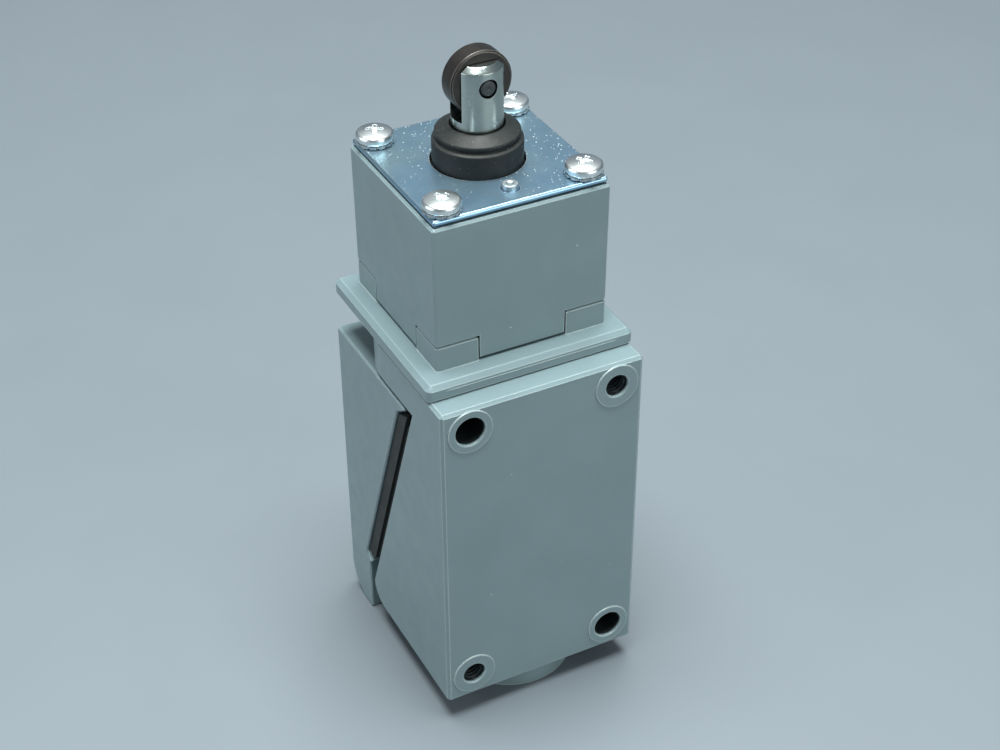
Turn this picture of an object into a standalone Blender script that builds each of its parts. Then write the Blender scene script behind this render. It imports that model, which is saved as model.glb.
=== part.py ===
"""Plug-in limit switch with a top roller plunger, built as separate pieces.

Frame: metres, +Z up. X runs across the switch, +Y points out of the mounting face and
-Y out of the front. The origin is the middle of the bounding box on its lowest plane,
the face of the conduit hub.
"""

import math

import bmesh
import bpy
from mathutils import Matrix, Vector

MM = 0.001

# Clearances
GAP = 0.3 * MM               # between pieces that meet face to face
SEAT_GAP = 0.15 * MM         # under small hardware
RUN_GAP = 0.11 * MM          # radial, between a shaft and its bore

# Receptacle, the wired half that bolts to the machine
BODY_WIDTH = 41.6 * MM
BODY_HEIGHT = 70.1 * MM
OVERALL_DEPTH = 47.4 * MM    # front face to the faces of the mounting pads
BODY_EDGE_RADIUS = 0.6 * MM
SIDE_WALL = 2.5 * MM
REAR_WALL = 3.0 * MM
REAR_SKIN = 0.8 * MM         # left behind the holes of the terminal block's screws
FLOOR_WALL = 3.5 * MM
ROOF_DEPTH = 15.4 * MM       # solid stock from the top of the receptacle down to its cavity
SILL_HEIGHT = 7.5 * MM       # height of the lower bosses above the cavity floor
SILL_DEPTH = 3.7 * MM        # thickness of the wall in front of the cavity floor
SUMP_WALL = 1.4 * MM         # stock around the lower mounting holes
ARM_REACH = 33.4 * MM        # from the rear face forwards
ARM_INNER_X = 10.5 * MM
ARM_CURVE_RADIUS = 17.0 * MM
ARM_CURVE_START = 25.4 * MM  # where the side of the arm starts to curve in, from the rear face
NECK_SLOT_REACH = 9.4 * MM   # stock left behind the neck of the switch body
FOOT_RADIUS = 4.7 * MM       # lower front corner

# Mounting pattern and pads
HOLE_SPACING_X = 30.2 * MM
HOLE_SPACING_Z = 59.5 * MM
HOLE_LOW_Z = 10.55 * MM      # height of the lower pair above the hub face
THROUGH_HOLE_R = 2.95 * MM
TAPPED_HOLE_R = 2.3 * MM
TAPPED_HOLE_DEPTH = 12.0 * MM
PAD_R = 4.45 * MM
HOLE_CHAMFER = 0.2 * MM
PAD_HEIGHT = 0.3 * MM

# Conduit hub
HUB_PROJECTION = 4.8 * MM
HUB_R = 12.7 * MM
HUB_BORE_R = 10.3 * MM
HUB_FROM_REAR = 14.4 * MM    # hub axis to the rear face

# Sloping joint between the two halves of the body: its normal leans back and down
SPLIT_TOP_Y = 10.3 * MM      # where the receptacle rim reaches the underside of the arm
SPLIT_FOOT_RISE = 4.84 * MM  # where it reaches the lower front edge, above the bottom
SPLIT_GAP = 4.8 * MM         # rim to rim, filled by the gasket
FOOT_FROM_FRONT = 11.5 * MM  # the receptacle's lower front edge, from the front face

# Switch body, the plug-in half
LEDGE_DROP = 8.5 * MM        # top of the receptacle to the ledge of the switch body
LEDGE_GAP = 0.45 * MM
NOSE_REACH = 3.6 * MM        # how far the ledge overhangs the gasket
NOSE_DROP = 0.6 * MM
CHIN_GAP = 1.75 * MM         # open joint below the gasket
FRONT_FOOT_RADIUS = 7.0 * MM
FRONT_WALL = 2.7 * MM
NOSE_DEPTH = 2.95 * MM       # from the ledge down to the root of its overhang
CHIN_TOP_Z = 14.87 * MM      # root of the lip at the foot of the joint
CHIN_LIP_HEIGHT = 2.4 * MM
CHIN_STEP = (0.9 * MM, 0.8 * MM)
NECK_ROOT_DEPTH = 1.0 * MM   # how far the neck runs down into the body
FLANGE_EDGE = 0.9 * MM       # along the top only
FLANGE_CORNER_RADIUS = 1.1 * MM
SWITCH_CAVITY_FLOOR = 17.2 * MM
SWITCH_CAVITY_ROOF = 5.2 * MM    # stock between the cavity and the ledge
NECK_FRONT_SETBACK = 3.7 * MM
DRIVER_HOLE_R = 4.8 * MM
FLANGE_SIZE = 42.1 * MM
FLANGE_SETBACK = 0.45 * MM   # front of the flange behind the front face
FLANGE_THICKNESS = 2.95 * MM
POST_LEG = 8.35 * MM         # corner posts that key the head
POST_HEIGHT = 5.05 * MM
POST_TOP_EDGE = 0.3 * MM

# Gasket on the sloping joint
GASKET_BAND = 2.7 * MM
GASKET_WALL = 1.7 * MM
GASKET_RECESS = 0.55 * MM    # below the side faces of the body
GASKET_LIP_WALL = 1.0 * MM
GASKET_LIP_ROOT = 0.4 * MM   # how far the lip runs into the band
GASKET_TOP_GAP = 0.5 * MM    # to the root of the ledge's overhang
GASKET_FOOT_GAP = 0.2 * MM   # to the lip at the foot of the joint
GASKET_TOP_RISE = 2.6 * MM   # slant of the upper end
GASKET_BEND = 1.3 * MM       # rounding of the lower end
GASKET_BEND_STEPS = (0.5 * MM, 0.3 * MM, 0.9 * MM)

# Operating head
HEAD_SIZE = 35.0 * MM
HEAD_HEIGHT = 29.1 * MM
HEAD_DRAFT = 0.2 * MM        # each side, over the height
HEAD_EDGE_RADIUS = 0.4 * MM
HEAD_CORNER_RADIUS = 0.6 * MM    # upright corners of the head and of the posts
AXIS_FROM_FRONT = 21.2 * MM  # plunger axis to the front face
HEAD_FLOOR = 3.6 * MM
HEAD_BORE_R = 7.4 * MM
HEAD_SCREW_SPACING = 27.8 * MM
PLATE_SIZE = 34.2 * MM
PLATE_THICKNESS = 1.1 * MM
PLATE_EDGE = 0.3 * MM
PLATE_PIN_R = 1.5 * MM
PLATE_PIN_FROM_AXIS = 12.5 * MM
PLATE_PIN_PROUD = 1.0 * MM
PLATE_PIN_DEPTH = 5.0 * MM

# Seals of the head
GASKET_RING_INNER = 9.3 * MM
GASKET_RING_OUTER = 11.2 * MM
GASKET_RING_HEIGHT = 1.4 * MM
ROD_SEAL_R = 3.6 * MM
ROD_SEAL_DEPTH = 2.4 * MM

# Screws
HEAD_SCREW_R = 1.75 * MM
HEAD_SCREW_CAP_R = 3.5 * MM
HEAD_SCREW_CAP_H = 1.9 * MM
HEAD_SCREW_TIP_RISE = 1.4 * MM   # above the flange
HEAD_SCREW_TURNS = (20.0, 63.0, 35.0, 8.0)   # degrees that each recess is turned
LOCK_WASHER_R = 3.6 * MM
LOCK_WASHER_THICKNESS = 0.5 * MM
LOCK_WASHER_TEETH = 12
LOCK_WASHER_NOTCH = 0.5 * MM
BODY_SCREW_R = 2.05 * MM
BODY_SCREW_CAP_R = 3.8 * MM
BODY_SCREW_CAP_H = 2.4 * MM
BODY_SCREW_SINK = 0.4 * MM   # head below the front face
UPPER_SCREW_SETBACK = 3.0 * MM   # tip to the rear wall of the cavity
LOWER_SCREW_BITE = 9.0 * MM  # tip behind the receptacle's lower front edge
SCREW_BOSS_WALL = 1.6 * MM
BODY_SCREW_RISE = 44.5 * MM  # upper captive screw above the lower one
SMALL_SCREW_R = 1.5 * MM
SMALL_SCREW_CAP_R = 2.6 * MM
SMALL_SCREW_CAP_H = 1.7 * MM
BLOCK_SCREW_SKIN = 1.5 * MM  # tip to the front face
GROUND_SCREW_DEPTH = 5.5 * MM
# Driver slots: width and depth in the captive screws and in the small ones
BODY_SLOT = (0.9 * MM, 0.9 * MM)
SMALL_SLOT = (0.7 * MM, 0.6 * MM)
CROSS_RECESS_DEPTH = 1.4 * MM

# Plunger, boot and roller
STROKE = 4.0 * MM
PLUNGER_R = 4.75 * MM
FORK_TOP_RISE = 19.35 * MM   # above the cover plate
FORK_CHAMFER = 1.0 * MM
SLOT_WIDTH = 4.6 * MM
SLOT_FLOOR_RISE = 8.75 * MM
ROLLER_R = 6.0 * MM
ROLLER_WIDTH = 4.0 * MM
ROLLER_RISE = 15.45 * MM
ROLLER_CHAMFER = 0.35 * MM
ROLLER_PIN_R = 1.46 * MM
ROLLER_PIN_LENGTH = 9.1 * MM
ROLLER_PIN_RELIEF = 0.34 * MM
ROLLER_PIN_CHAMFER = 0.25 * MM
BOOT_COLLAR_R = 8.3 * MM
BOOT_FLANGE_R = 10.3 * MM
BOOT_FLANGE_H = 1.6 * MM
BOOT_WALL = 1.7 * MM
BOOT_LIP_R = 7.8 * MM
BOOT_GROOVE_R = 7.45 * MM
BOOT_RISE = 7.15 * MM        # above the cover plate, at the plunger
BOOT_HOLE_CLEARANCE = 0.45 * MM
BOOT_TOP_LAND = 0.5 * MM     # flat ring round the plunger
# Depths below the crown: end of the collar, groove from and to, lip from and to
BOOT_COLLAR_DROP = 2.95 * MM
BOOT_GROOVE_DROPS = (2.55 * MM, 2.25 * MM)
BOOT_LIP_DROPS = (1.9 * MM, 1.35 * MM)
BOOT_WIPER_HEIGHT = 1.2 * MM
BOOT_INNER_DROP = 3.2 * MM
BUSHING_LENGTH = 9.0 * MM
RETAINER_R = 6.5 * MM
RETAINER_THICKNESS = 0.8 * MM
RETAINER_GROOVE_R = 3.9 * MM
RETAINER_SPLIT = 2.4 * MM
PLUNGER_TAIL_R = 3.1 * MM
PLUNGER_TAIL_LENGTH = 3.2 * MM
RETURN_SPRING_CLEARANCE = 0.25 * MM
RETURN_SPRING_WIRE_R = 0.4 * MM
RETURN_SPRING_TURNS = 5
PUSH_ROD_R = 1.5 * MM
PUSH_ROD_FOOT_R = 2.45 * MM
PUSH_ROD_FOOT_H = 0.9 * MM
PUSH_ROD_FOOT_SINK = 1.4 * MM    # into the bore of the contact carrier
ROD_SOCKET_DEPTH = 2.6 * MM

# Contact block in the switch body
BLOCK_WIDTH = 33.0 * MM
BLOCK_BOTTOM = 18.0 * MM
BLOCK_TOP = 51.0 * MM
BLOCK_REAR_FROM_FRONT = 29.7 * MM
BLOCK_SIDE_WALL = 4.3 * MM
BLOCK_WALL = 1.8 * MM
BLOCK_COVER = 2.7 * MM
CARRIER_STROKE_SHARE = 0.5   # of the plunger stroke; the over-travel spring takes the rest
CARRIER_WIDTH = 9.0 * MM
CARRIER_DEPTH = 7.0 * MM
CARRIER_TOP_DROP = 1.8 * MM
CARRIER_LENGTH = 23.6 * MM
CARRIER_BORE_R = 2.85 * MM
CARRIER_BORE_DEPTH = 6.6 * MM
BRIDGE_LENGTH = 22.8 * MM
BRIDGE_WIDTH = 4.0 * MM
BRIDGE_THICKNESS = 0.8 * MM
BRIDGE_SPACING = 11.6 * MM
BRIDGE_BELOW_BORE = 3.4 * MM
CONTACT_X = 9.5 * MM
CONTACT_BUTTON_R = 1.5 * MM
CONTACT_BUTTON_H = 0.8 * MM
STAB_WIDTH = 4.5 * MM
STAB_THICKNESS = 1.0 * MM
STAB_PROJECTION = 9.5 * MM   # behind the contact block
SMALL_SPRING_WIRE_R = 0.3 * MM
CARRIER_SPRING_R = 2.6 * MM
CARRIER_EDGE = 0.4 * MM
BRIDGE_EDGE = 0.2 * MM

# Terminals in the receptacle
TERMINAL_BLOCK_DEPTH = 10.8 * MM
TERMINAL_BLOCK_BOTTOM = 18.6 * MM
TERMINAL_BLOCK_TOP = 50.8 * MM
TERMINAL_X = 14.2 * MM
TERMINAL_SCREW_INSET = 9.2 * MM
GROUND_SCREW_INSET = 0.6 * MM    # inwards of the mounting holes
GROUND_SCREW_FROM_FOOT = 15.6 * MM
TERMINAL_POCKET_HALF = 3.6 * MM
CLIP_THICKNESS = 0.7 * MM
CLIP_SETBACK = 1.5 * MM      # from the face of the block to the ends of the clip's leaves
CLAMP_HALF = 2.3 * MM
CLAMP_THICKNESS = 0.9 * MM
CLAMP_GAP = 1.2 * MM         # clamp to clip, where the wire goes
CLAMP_EDGE = 0.15 * MM
TERMINAL_FLOOR = 2.4 * MM
TERMINAL_WALL = 0.9 * MM
TERMINAL_SCREW_BITE = 1.3 * MM

# Blank rating plate on the front
NAMEPLATE_WIDTH = 27.4 * MM
NAMEPLATE_HEIGHT = 29.4 * MM
NAMEPLATE_THICKNESS = 0.45 * MM
NAMEPLATE_RECESS = 0.8 * MM

# Heights and depths that follow from the sizes above
X_SIDE = BODY_WIDTH / 2
MOUNT_Y = OVERALL_DEPTH / 2
REAR_Y = MOUNT_Y - PAD_HEIGHT
FRONT_Y = -OVERALL_DEPTH / 2
BASE_Z = HUB_PROJECTION
BODY_TOP_Z = BASE_Z + BODY_HEIGHT
LEDGE_Z = BODY_TOP_Z - LEDGE_DROP
FLANGE_Z = BODY_TOP_Z + GAP
FLANGE_TOP_Z = FLANGE_Z + FLANGE_THICKNESS
POST_TOP_Z = FLANGE_TOP_Z + POST_HEIGHT
HEAD_Z = FLANGE_TOP_Z + GAP
HEAD_TOP_Z = HEAD_Z + HEAD_HEIGHT
PLATE_Z = HEAD_TOP_Z + GAP
PLATE_TOP_Z = PLATE_Z + PLATE_THICKNESS
AXIS_Y = FRONT_Y + AXIS_FROM_FRONT
AXIS = Vector((0.0, AXIS_Y, 0.0))
HUB_Y = REAR_Y - HUB_FROM_REAR
HOLE_X = HOLE_SPACING_X / 2
HOLE_HIGH_Z = HOLE_LOW_Z + HOLE_SPACING_Z
FOOT_Y = FRONT_Y + FOOT_FROM_FRONT
CAVITY_X = X_SIDE - SIDE_WALL
CAVITY_REAR_Y = REAR_Y - REAR_WALL
CAVITY_FLOOR_Z = BASE_Z + FLOOR_WALL
CAVITY_ROOF_Z = BODY_TOP_Z - ROOF_DEPTH
SILL_Z = CAVITY_FLOOR_Z + SILL_HEIGHT
ARM_FLOOR_Z = LEDGE_Z + LEDGE_GAP
NECK_X = ARM_INNER_X - GAP
NECK_REAR_Y = REAR_Y - NECK_SLOT_REACH - GAP
NECK_ROOT_Z = LEDGE_Z - NECK_ROOT_DEPTH
UPPER_SCREW_Z = HOLE_LOW_Z + BODY_SCREW_RISE
ROLLER_Z = PLATE_TOP_Z + ROLLER_RISE
BUSHING_TOP_Z = HEAD_TOP_Z - BOOT_FLANGE_H - 2 * GAP
BUSHING_Z = BUSHING_TOP_Z - BUSHING_LENGTH
RETAINER_TOP_Z = BUSHING_Z - GAP
RETAINER_Z = RETAINER_TOP_Z - RETAINER_THICKNESS
SPRING_SEAT_Z = RETAINER_Z - SEAT_GAP - RETAINER_THICKNESS
HEAD_FLOOR_Z = HEAD_Z + HEAD_FLOOR
PLUNGER_BODY_Z = SPRING_SEAT_Z - GAP
PLUNGER_TAIL_Z = PLUNGER_BODY_Z - PLUNGER_TAIL_LENGTH
CARRIER_TOP_Z = BLOCK_TOP - CARRIER_TOP_DROP
CARRIER_Z = CARRIER_TOP_Z - CARRIER_LENGTH
CARRIER_BORE_Z = CARRIER_TOP_Z - CARRIER_BORE_DEPTH
CARRIER_STROKE = STROKE * CARRIER_STROKE_SHARE
UPPER_BRIDGE_Z = CARRIER_BORE_Z - BRIDGE_BELOW_BORE
LOWER_BRIDGE_Z = UPPER_BRIDGE_Z - BRIDGE_SPACING
BLOCK_FRONT_Y = FRONT_Y + FRONT_WALL + GAP
BLOCK_REAR_Y = FRONT_Y + BLOCK_REAR_FROM_FRONT
BLOCK_SPLIT_Y = BLOCK_REAR_Y - BLOCK_COVER
BLOCK_SCREW_X = BLOCK_WIDTH / 2 - BLOCK_SIDE_WALL / 2
BLOCK_SCREW_Z = (BLOCK_BOTTOM + BLOCK_TOP) / 2
TERMINAL_REAR_Y = CAVITY_REAR_Y - GAP
TERMINAL_FRONT_Y = TERMINAL_REAR_Y - TERMINAL_BLOCK_DEPTH
PUSH_ROD_FOOT_Z = CARRIER_TOP_Z - PUSH_ROD_FOOT_SINK

# Stationary contacts: the upper pair touches at rest, the lower pair when the carrier is down
UPPER_STAB_Z = UPPER_BRIDGE_Z + BRIDGE_THICKNESS + GAP + CONTACT_BUTTON_H
LOWER_STAB_Z = LOWER_BRIDGE_Z - CARRIER_STROKE - GAP - CONTACT_BUTTON_H - STAB_THICKNESS

# Places of the fasteners and blades
SCREW_SEAT_Y = FRONT_Y + BODY_SCREW_CAP_H + BODY_SCREW_SINK
UPPER_SCREW_TIP_Y = CAVITY_REAR_Y - UPPER_SCREW_SETBACK
LOWER_SCREW_TIP_Y = FOOT_Y + LOWER_SCREW_BITE
BLOCK_SCREW_TIP_Y = FRONT_Y + BLOCK_SCREW_SKIN
SCREW_PASSAGE_R = HEAD_SCREW_R + GAP
BODY_SCREWS = ((-HOLE_X, UPPER_SCREW_Z), (HOLE_X, HOLE_LOW_Z))
HEAD_SCREWS = tuple((sx * HEAD_SCREW_SPACING / 2, AXIS_Y + sy * HEAD_SCREW_SPACING / 2)
                    for sx, sy in ((1, 1), (1, -1), (-1, 1), (-1, -1)))
PLATE_PIN = (0.0, AXIS_Y + PLATE_PIN_FROM_AXIS, 0.0)
TERMINAL_SCREW_HEIGHTS = (TERMINAL_BLOCK_BOTTOM + TERMINAL_SCREW_INSET,
                          TERMINAL_BLOCK_TOP - TERMINAL_SCREW_INSET)
GROUND_SCREW = (HOLE_X - GROUND_SCREW_INSET, FOOT_Y + GROUND_SCREW_FROM_FOOT, 0.0)
NAMEPLATE_Z = BLOCK_SCREW_Z - NAMEPLATE_HEIGHT / 2
STABS = tuple((x, z) for z in (UPPER_STAB_Z, LOWER_STAB_Z) for x in (-CONTACT_X, CONTACT_X))

# The sloping joint in side view: its normal and its direction
SPLIT_SLOPE = (SPLIT_TOP_Y - FOOT_Y) / (ARM_FLOOR_Z - BASE_Z - SPLIT_FOOT_RISE)
SLOPE_LENGTH = math.hypot(SPLIT_SLOPE, 1.0)
SPLIT_NORMAL = (1.0 / SLOPE_LENGTH, -SPLIT_SLOPE / SLOPE_LENGTH)
SPLIT_ALONG = (SPLIT_NORMAL[1], -SPLIT_NORMAL[0])

OVER = 1.0 * MM              # how far a cutter runs past the face that it cuts
WELD = 0.001 * MM            # doubled points closer than this become one
ROUND_STEPS = 32
SMALL_STEPS = 16
CORNER_SEGMENTS = 3
CREASE = math.radians(35.0)

PAINT = ("grey_enamel", (0.185, 0.232, 0.235), 0.42, 0.0)
RUBBER = ("black_rubber", (0.020, 0.020, 0.021), 0.72, 0.0)
GASKET_RUBBER = ("gasket_rubber", (0.085, 0.080, 0.072), 0.75, 0.0)
ZINC_PLATE = ("zinc_plated_steel", (0.62, 0.66, 0.70), 0.28, 1.0)
STAINLESS = ("stainless_steel", (0.66, 0.68, 0.70), 0.24, 1.0)
SPRING_STEEL = ("spring_steel", (0.36, 0.37, 0.39), 0.32, 1.0)
OXIDED_STEEL = ("oxided_steel", (0.040, 0.035, 0.033), 0.45, 0.6)
BRONZE = ("sintered_bronze", (0.56, 0.37, 0.18), 0.45, 1.0)
BRASS = ("brass", (0.72, 0.54, 0.24), 0.30, 1.0)
SILVER = ("silver_alloy", (0.80, 0.79, 0.76), 0.25, 1.0)
MOULDING = ("black_moulding", (0.030, 0.030, 0.032), 0.50, 0.0)
WHITE_MOULDING = ("white_moulding", (0.72, 0.71, 0.67), 0.45, 0.0)
GREEN_SCREW = ("green_plated_steel", (0.06, 0.24, 0.10), 0.40, 0.8)
ALUMINIUM = ("anodised_aluminium", (0.70, 0.71, 0.72), 0.35, 1.0)


# ---------------------------------------------------------------- scene helpers

def clear_scene():
    """Remove every object and the meshes and materials that they used."""
    for item in list(bpy.data.objects):
        bpy.data.objects.remove(item, do_unlink=True)
    for mesh in list(bpy.data.meshes):
        bpy.data.meshes.remove(mesh)
    for material in list(bpy.data.materials):
        bpy.data.materials.remove(material)


def make_material(finish, name):
    """A Principled material of the given finish, one for each piece."""
    _, color, roughness, metallic = finish
    material = bpy.data.materials.new(f"{name}_{finish[0]}")
    material.use_nodes = True
    shader = material.node_tree.nodes["Principled BSDF"]
    shader.inputs["Base Color"].default_value = (*color, 1.0)
    shader.inputs["Roughness"].default_value = roughness
    shader.inputs["Metallic"].default_value = metallic
    return material


def make_piece(name, shape, finish, origin=(0.0, 0.0, 0.0), smooth=False, parent=None):
    """Turn a bmesh in world coordinates into an object whose origin is at `origin`."""
    offset = Vector(origin)
    bmesh.ops.translate(shape, verts=shape.verts, vec=-offset)
    mesh = bpy.data.meshes.new(name)
    shape.to_mesh(mesh)
    shape.free()
    if smooth:
        mesh.shade_smooth()
        mesh.set_sharp_from_angle(angle=CREASE)
    piece = bpy.data.objects.new(name, mesh)
    bpy.context.collection.objects.link(piece)
    piece.data.materials.append(make_material(finish, name))
    piece.location = offset
    if parent:
        piece.parent = parent
        piece.location = offset - parent.location
    return piece


def boolean(piece, shapes, operation="DIFFERENCE"):
    """Cut the shapes from the piece, or join them to it, with one modifier for each."""
    for number, shape in enumerate(shapes):
        label = f"{operation.lower()}_{piece.name}_{len(piece.modifiers)}_{number}"
        mesh = bpy.data.meshes.new(label)
        shape.to_mesh(mesh)
        shape.free()
        tool = bpy.data.objects.new(label, mesh)
        bpy.context.collection.objects.link(tool)
        tool.hide_render = True
        tool.display_type = "WIRE"
        modifier = piece.modifiers.new(label, "BOOLEAN")
        modifier.operation = operation
        modifier.solver = "EXACT"
        modifier.object = tool
    return piece


def axis_empty(name, location):
    """An empty that stands on a joint's axis and carries the pieces that move with it."""
    empty = bpy.data.objects.new(name, None)
    empty.location = location
    bpy.context.collection.objects.link(empty)
    return empty


# ---------------------------------------------------------------- shape helpers

def prism(outline, axis, low, high):
    """Extrude a flat outline along an axis. Outline pairs are the other two axes in order."""
    place = {
        "x": lambda a, b: (low, a, b),
        "y": lambda a, b: (a, low, b),
        "z": lambda a, b: (a, b, low),
    }[axis]
    direction = {"x": (1, 0, 0), "y": (0, 1, 0), "z": (0, 0, 1)}[axis]
    shape = bmesh.new()
    face = shape.faces.new([shape.verts.new(place(a, b)) for a, b in outline])
    grown = bmesh.ops.extrude_face_region(shape, geom=[face])
    moved = [item for item in grown["geom"] if isinstance(item, bmesh.types.BMVert)]
    bmesh.ops.translate(shape, verts=moved, vec=Vector(direction) * (high - low))
    bmesh.ops.recalc_face_normals(shape, faces=shape.faces)
    return shape


def block(low, high):
    """A box between two corners."""
    outline = [(low[0], low[1]), (high[0], low[1]), (high[0], high[1]), (low[0], high[1])]
    return prism(outline, "z", low[2], high[2])


def arc(centre, radius, start, end, steps=6):
    """Points along a circular arc, angles in degrees."""
    angles = [math.radians(start + (end - start) * i / steps) for i in range(steps + 1)]
    return [(centre[0] + radius * math.cos(a), centre[1] + radius * math.sin(a)) for a in angles]


def turned(profile, centre, axis="z", steps=ROUND_STEPS):
    """Turn a closed (radius, height) profile about an axis through `centre`."""
    shape = bmesh.new()
    verts = [shape.verts.new((radius, 0.0, height)) for radius, height in profile]
    for index, vert in enumerate(verts):
        following = verts[(index + 1) % len(verts)]
        if max(vert.co.x, following.co.x) > 0.0:
            shape.edges.new((vert, following))
    bmesh.ops.spin(shape, geom=list(shape.verts) + list(shape.edges), cent=(0, 0, 0),
                   axis=(0, 0, 1), angle=math.tau, steps=steps, use_merge=True)
    bmesh.ops.remove_doubles(shape, verts=shape.verts, dist=WELD)
    bmesh.ops.recalc_face_normals(shape, faces=shape.faces)
    if axis == "y":
        bmesh.ops.rotate(shape, verts=shape.verts, matrix=Matrix.Rotation(-math.pi / 2, 3, "X"))
    bmesh.ops.translate(shape, verts=shape.verts, vec=Vector(centre))
    return shape


def rod(radius, low, high, centre, axis="z", steps=ROUND_STEPS):
    """A plain cylinder along Z or Y; low and high are measured along the axis."""
    profile = [(0.0, low), (radius, low), (radius, high), (0.0, high)]
    return turned(profile, centre, axis, steps)


def tube(inner, outer, low, high, centre, axis="z", steps=ROUND_STEPS):
    """A plain ring along Z or Y."""
    profile = [(inner, low), (outer, low), (outer, high), (inner, high)]
    return turned(profile, centre, axis, steps)


def round_edges(shape, radius, segments=1, angle=40.0):
    """Bevel every edge that turns more than `angle` degrees."""
    limit = math.radians(angle)
    edges = [edge for edge in shape.edges if edge.calc_face_angle(0.0) > limit]
    bmesh.ops.bevel(shape, geom=edges, offset=radius, segments=segments, profile=0.5,
                    affect="EDGES", clamp_overlap=True)
    return shape


def round_upright(shape, radius, chosen=None):
    """Round the edges that run up and down, or those of them for which `chosen` is true."""
    edges = [edge for edge in shape.edges
             if abs(edge.verts[0].co.z - edge.verts[1].co.z) > radius]
    if chosen:
        edges = [edge for edge in edges if chosen(edge.verts[0].co)]
    bmesh.ops.bevel(shape, geom=edges, offset=radius, segments=CORNER_SEGMENTS, profile=0.5,
                    affect="EDGES", clamp_overlap=True)
    return shape


def round_top(shape, radius, angle=40.0):
    """Bevel the edges round the top face."""
    limit = math.radians(angle)
    top = max(vert.co.z for vert in shape.verts) - WELD
    edges = [edge for edge in shape.edges
             if min(vert.co.z for vert in edge.verts) > top and edge.calc_face_angle(0.0) > limit]
    bmesh.ops.bevel(shape, geom=edges, offset=radius, segments=1, profile=0.5,
                    affect="EDGES", clamp_overlap=True)
    return shape


def coil(radius, wire, turns, low, high, steps=12, sides=5):
    """A compression spring of round wire about Z, with capped ends."""
    pitch_span = (high - low) - 2 * wire
    rings = turns * steps
    shape = bmesh.new()
    loops = []
    for index in range(rings + 1):
        share = index / rings
        turn = math.tau * turns * share
        outward = Vector((math.cos(turn), math.sin(turn), 0.0))
        middle = outward * radius + Vector((0.0, 0.0, low + wire + pitch_span * share))
        loop = []
        for side in range(sides):
            around = math.tau * side / sides
            point = middle + outward * wire * math.cos(around)
            loop.append(shape.verts.new(point + Vector((0.0, 0.0, wire * math.sin(around)))))
        loops.append(loop)
    for first, second in zip(loops, loops[1:]):
        for side in range(sides):
            after = (side + 1) % sides
            shape.faces.new((first[side], first[after], second[after], second[side]))
    shape.faces.new(loops[0])
    shape.faces.new(list(reversed(loops[-1])))
    bmesh.ops.recalc_face_normals(shape, faces=shape.faces)
    bmesh.ops.translate(shape, verts=shape.verts, vec=AXIS)
    return shape


def cross_recess(cap_radius, top, depth, centre, turn):
    """The cutter of a cross recess: two crossed blades that narrow towards the bottom."""
    reach = cap_radius * 0.56
    blade = cap_radius * 0.13
    outline = []
    for quarter in range(4):
        spin = Matrix.Rotation(math.radians(90.0 * quarter + turn), 2)
        for point in ((reach, -blade), (reach, blade), (blade, blade)):
            outline.append(tuple(spin @ Vector(point)))
    shape = prism(outline, "z", top - depth, top + depth)
    for vert in shape.verts:
        if vert.co.z < top:
            vert.co.x *= 0.45
            vert.co.y *= 0.45
    bmesh.ops.translate(shape, verts=shape.verts, vec=Vector((centre[0], centre[1], 0.0)))
    return shape


def pan_screw(name, centre, seat, cap_r, cap_h, shank_r, tip, toward, finish, recess):
    """A pan head screw along Z or Y.

    `seat` is the coordinate under the head, `tip` the end of the shank, and `toward` is the
    axis letter. The head lies on the side of the seat away from the tip.
    """
    side = 1.0 if seat > tip else -1.0
    crown = [(cap_r, seat), (cap_r, seat + side * cap_h * 0.45),
             (cap_r * 0.86, seat + side * cap_h * 0.82), (cap_r * 0.55, seat + side * cap_h)]
    profile = [(0.0, tip), (shank_r, tip), (shank_r, seat), *crown, (0.0, seat + side * cap_h)]
    steps = 20 if cap_r > SMALL_SCREW_CAP_R else 12
    piece = make_piece(name, turned(profile, centre, toward, steps), finish, smooth=True)
    return boolean(piece, [recess])


def slot_cutter(centre, top, slot, cap_r, axis):
    """The straight driver slot across a screw head that faces along `axis`."""
    half, depth = slot[0] / 2, slot[1]
    reach = cap_r + OVER
    if axis == "z":
        return block((centre[0] - reach, centre[1] - half, top - depth),
                     (centre[0] + reach, centre[1] + half, top + depth))
    return block((centre[0] - reach, top - depth, centre[2] - half),
                 (centre[0] + reach, top + depth, centre[2] + half))


# ---------------------------------------------------------------- the sloping joint

def split_offset(y, z):
    """Distance of a side-view point along the joint's normal."""
    return y * SPLIT_NORMAL[0] + z * SPLIT_NORMAL[1]


def split_point(offset, along):
    """Side-view point at a distance along the joint's normal and down its length."""
    return (offset * SPLIT_NORMAL[0] + along * SPLIT_ALONG[0],
            offset * SPLIT_NORMAL[1] + along * SPLIT_ALONG[1])


def split_at_height(offset, z):
    """Side-view point of the plane at `offset` at height z."""
    return ((offset - z * SPLIT_NORMAL[1]) / SPLIT_NORMAL[0], z)


def split_at_depth(offset, y):
    """Side-view point of the plane at `offset` at depth y."""
    return (y, (offset - y * SPLIT_NORMAL[0]) / SPLIT_NORMAL[1])


RECEPTACLE_RIM = split_offset(SPLIT_TOP_Y, ARM_FLOOR_Z)
SWITCH_RIM = RECEPTACLE_RIM - SPLIT_GAP
CHIN_Y = FOOT_Y - CHIN_GAP
CHIN_TOP = split_at_height(SWITCH_RIM, CHIN_TOP_Z)


def along_of(point):
    """How far down the joint a side-view point lies."""
    return point[0] * SPLIT_ALONG[0] + point[1] * SPLIT_ALONG[1]


NOSE_ROOT = split_at_height(SWITCH_RIM, LEDGE_Z - NOSE_DEPTH)
GASKET_LOW = along_of(CHIN_TOP) - GASKET_FOOT_GAP
GASKET_HIGH = along_of(NOSE_ROOT) + GASKET_TOP_GAP


# ---------------------------------------------------------------- body shells

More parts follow.
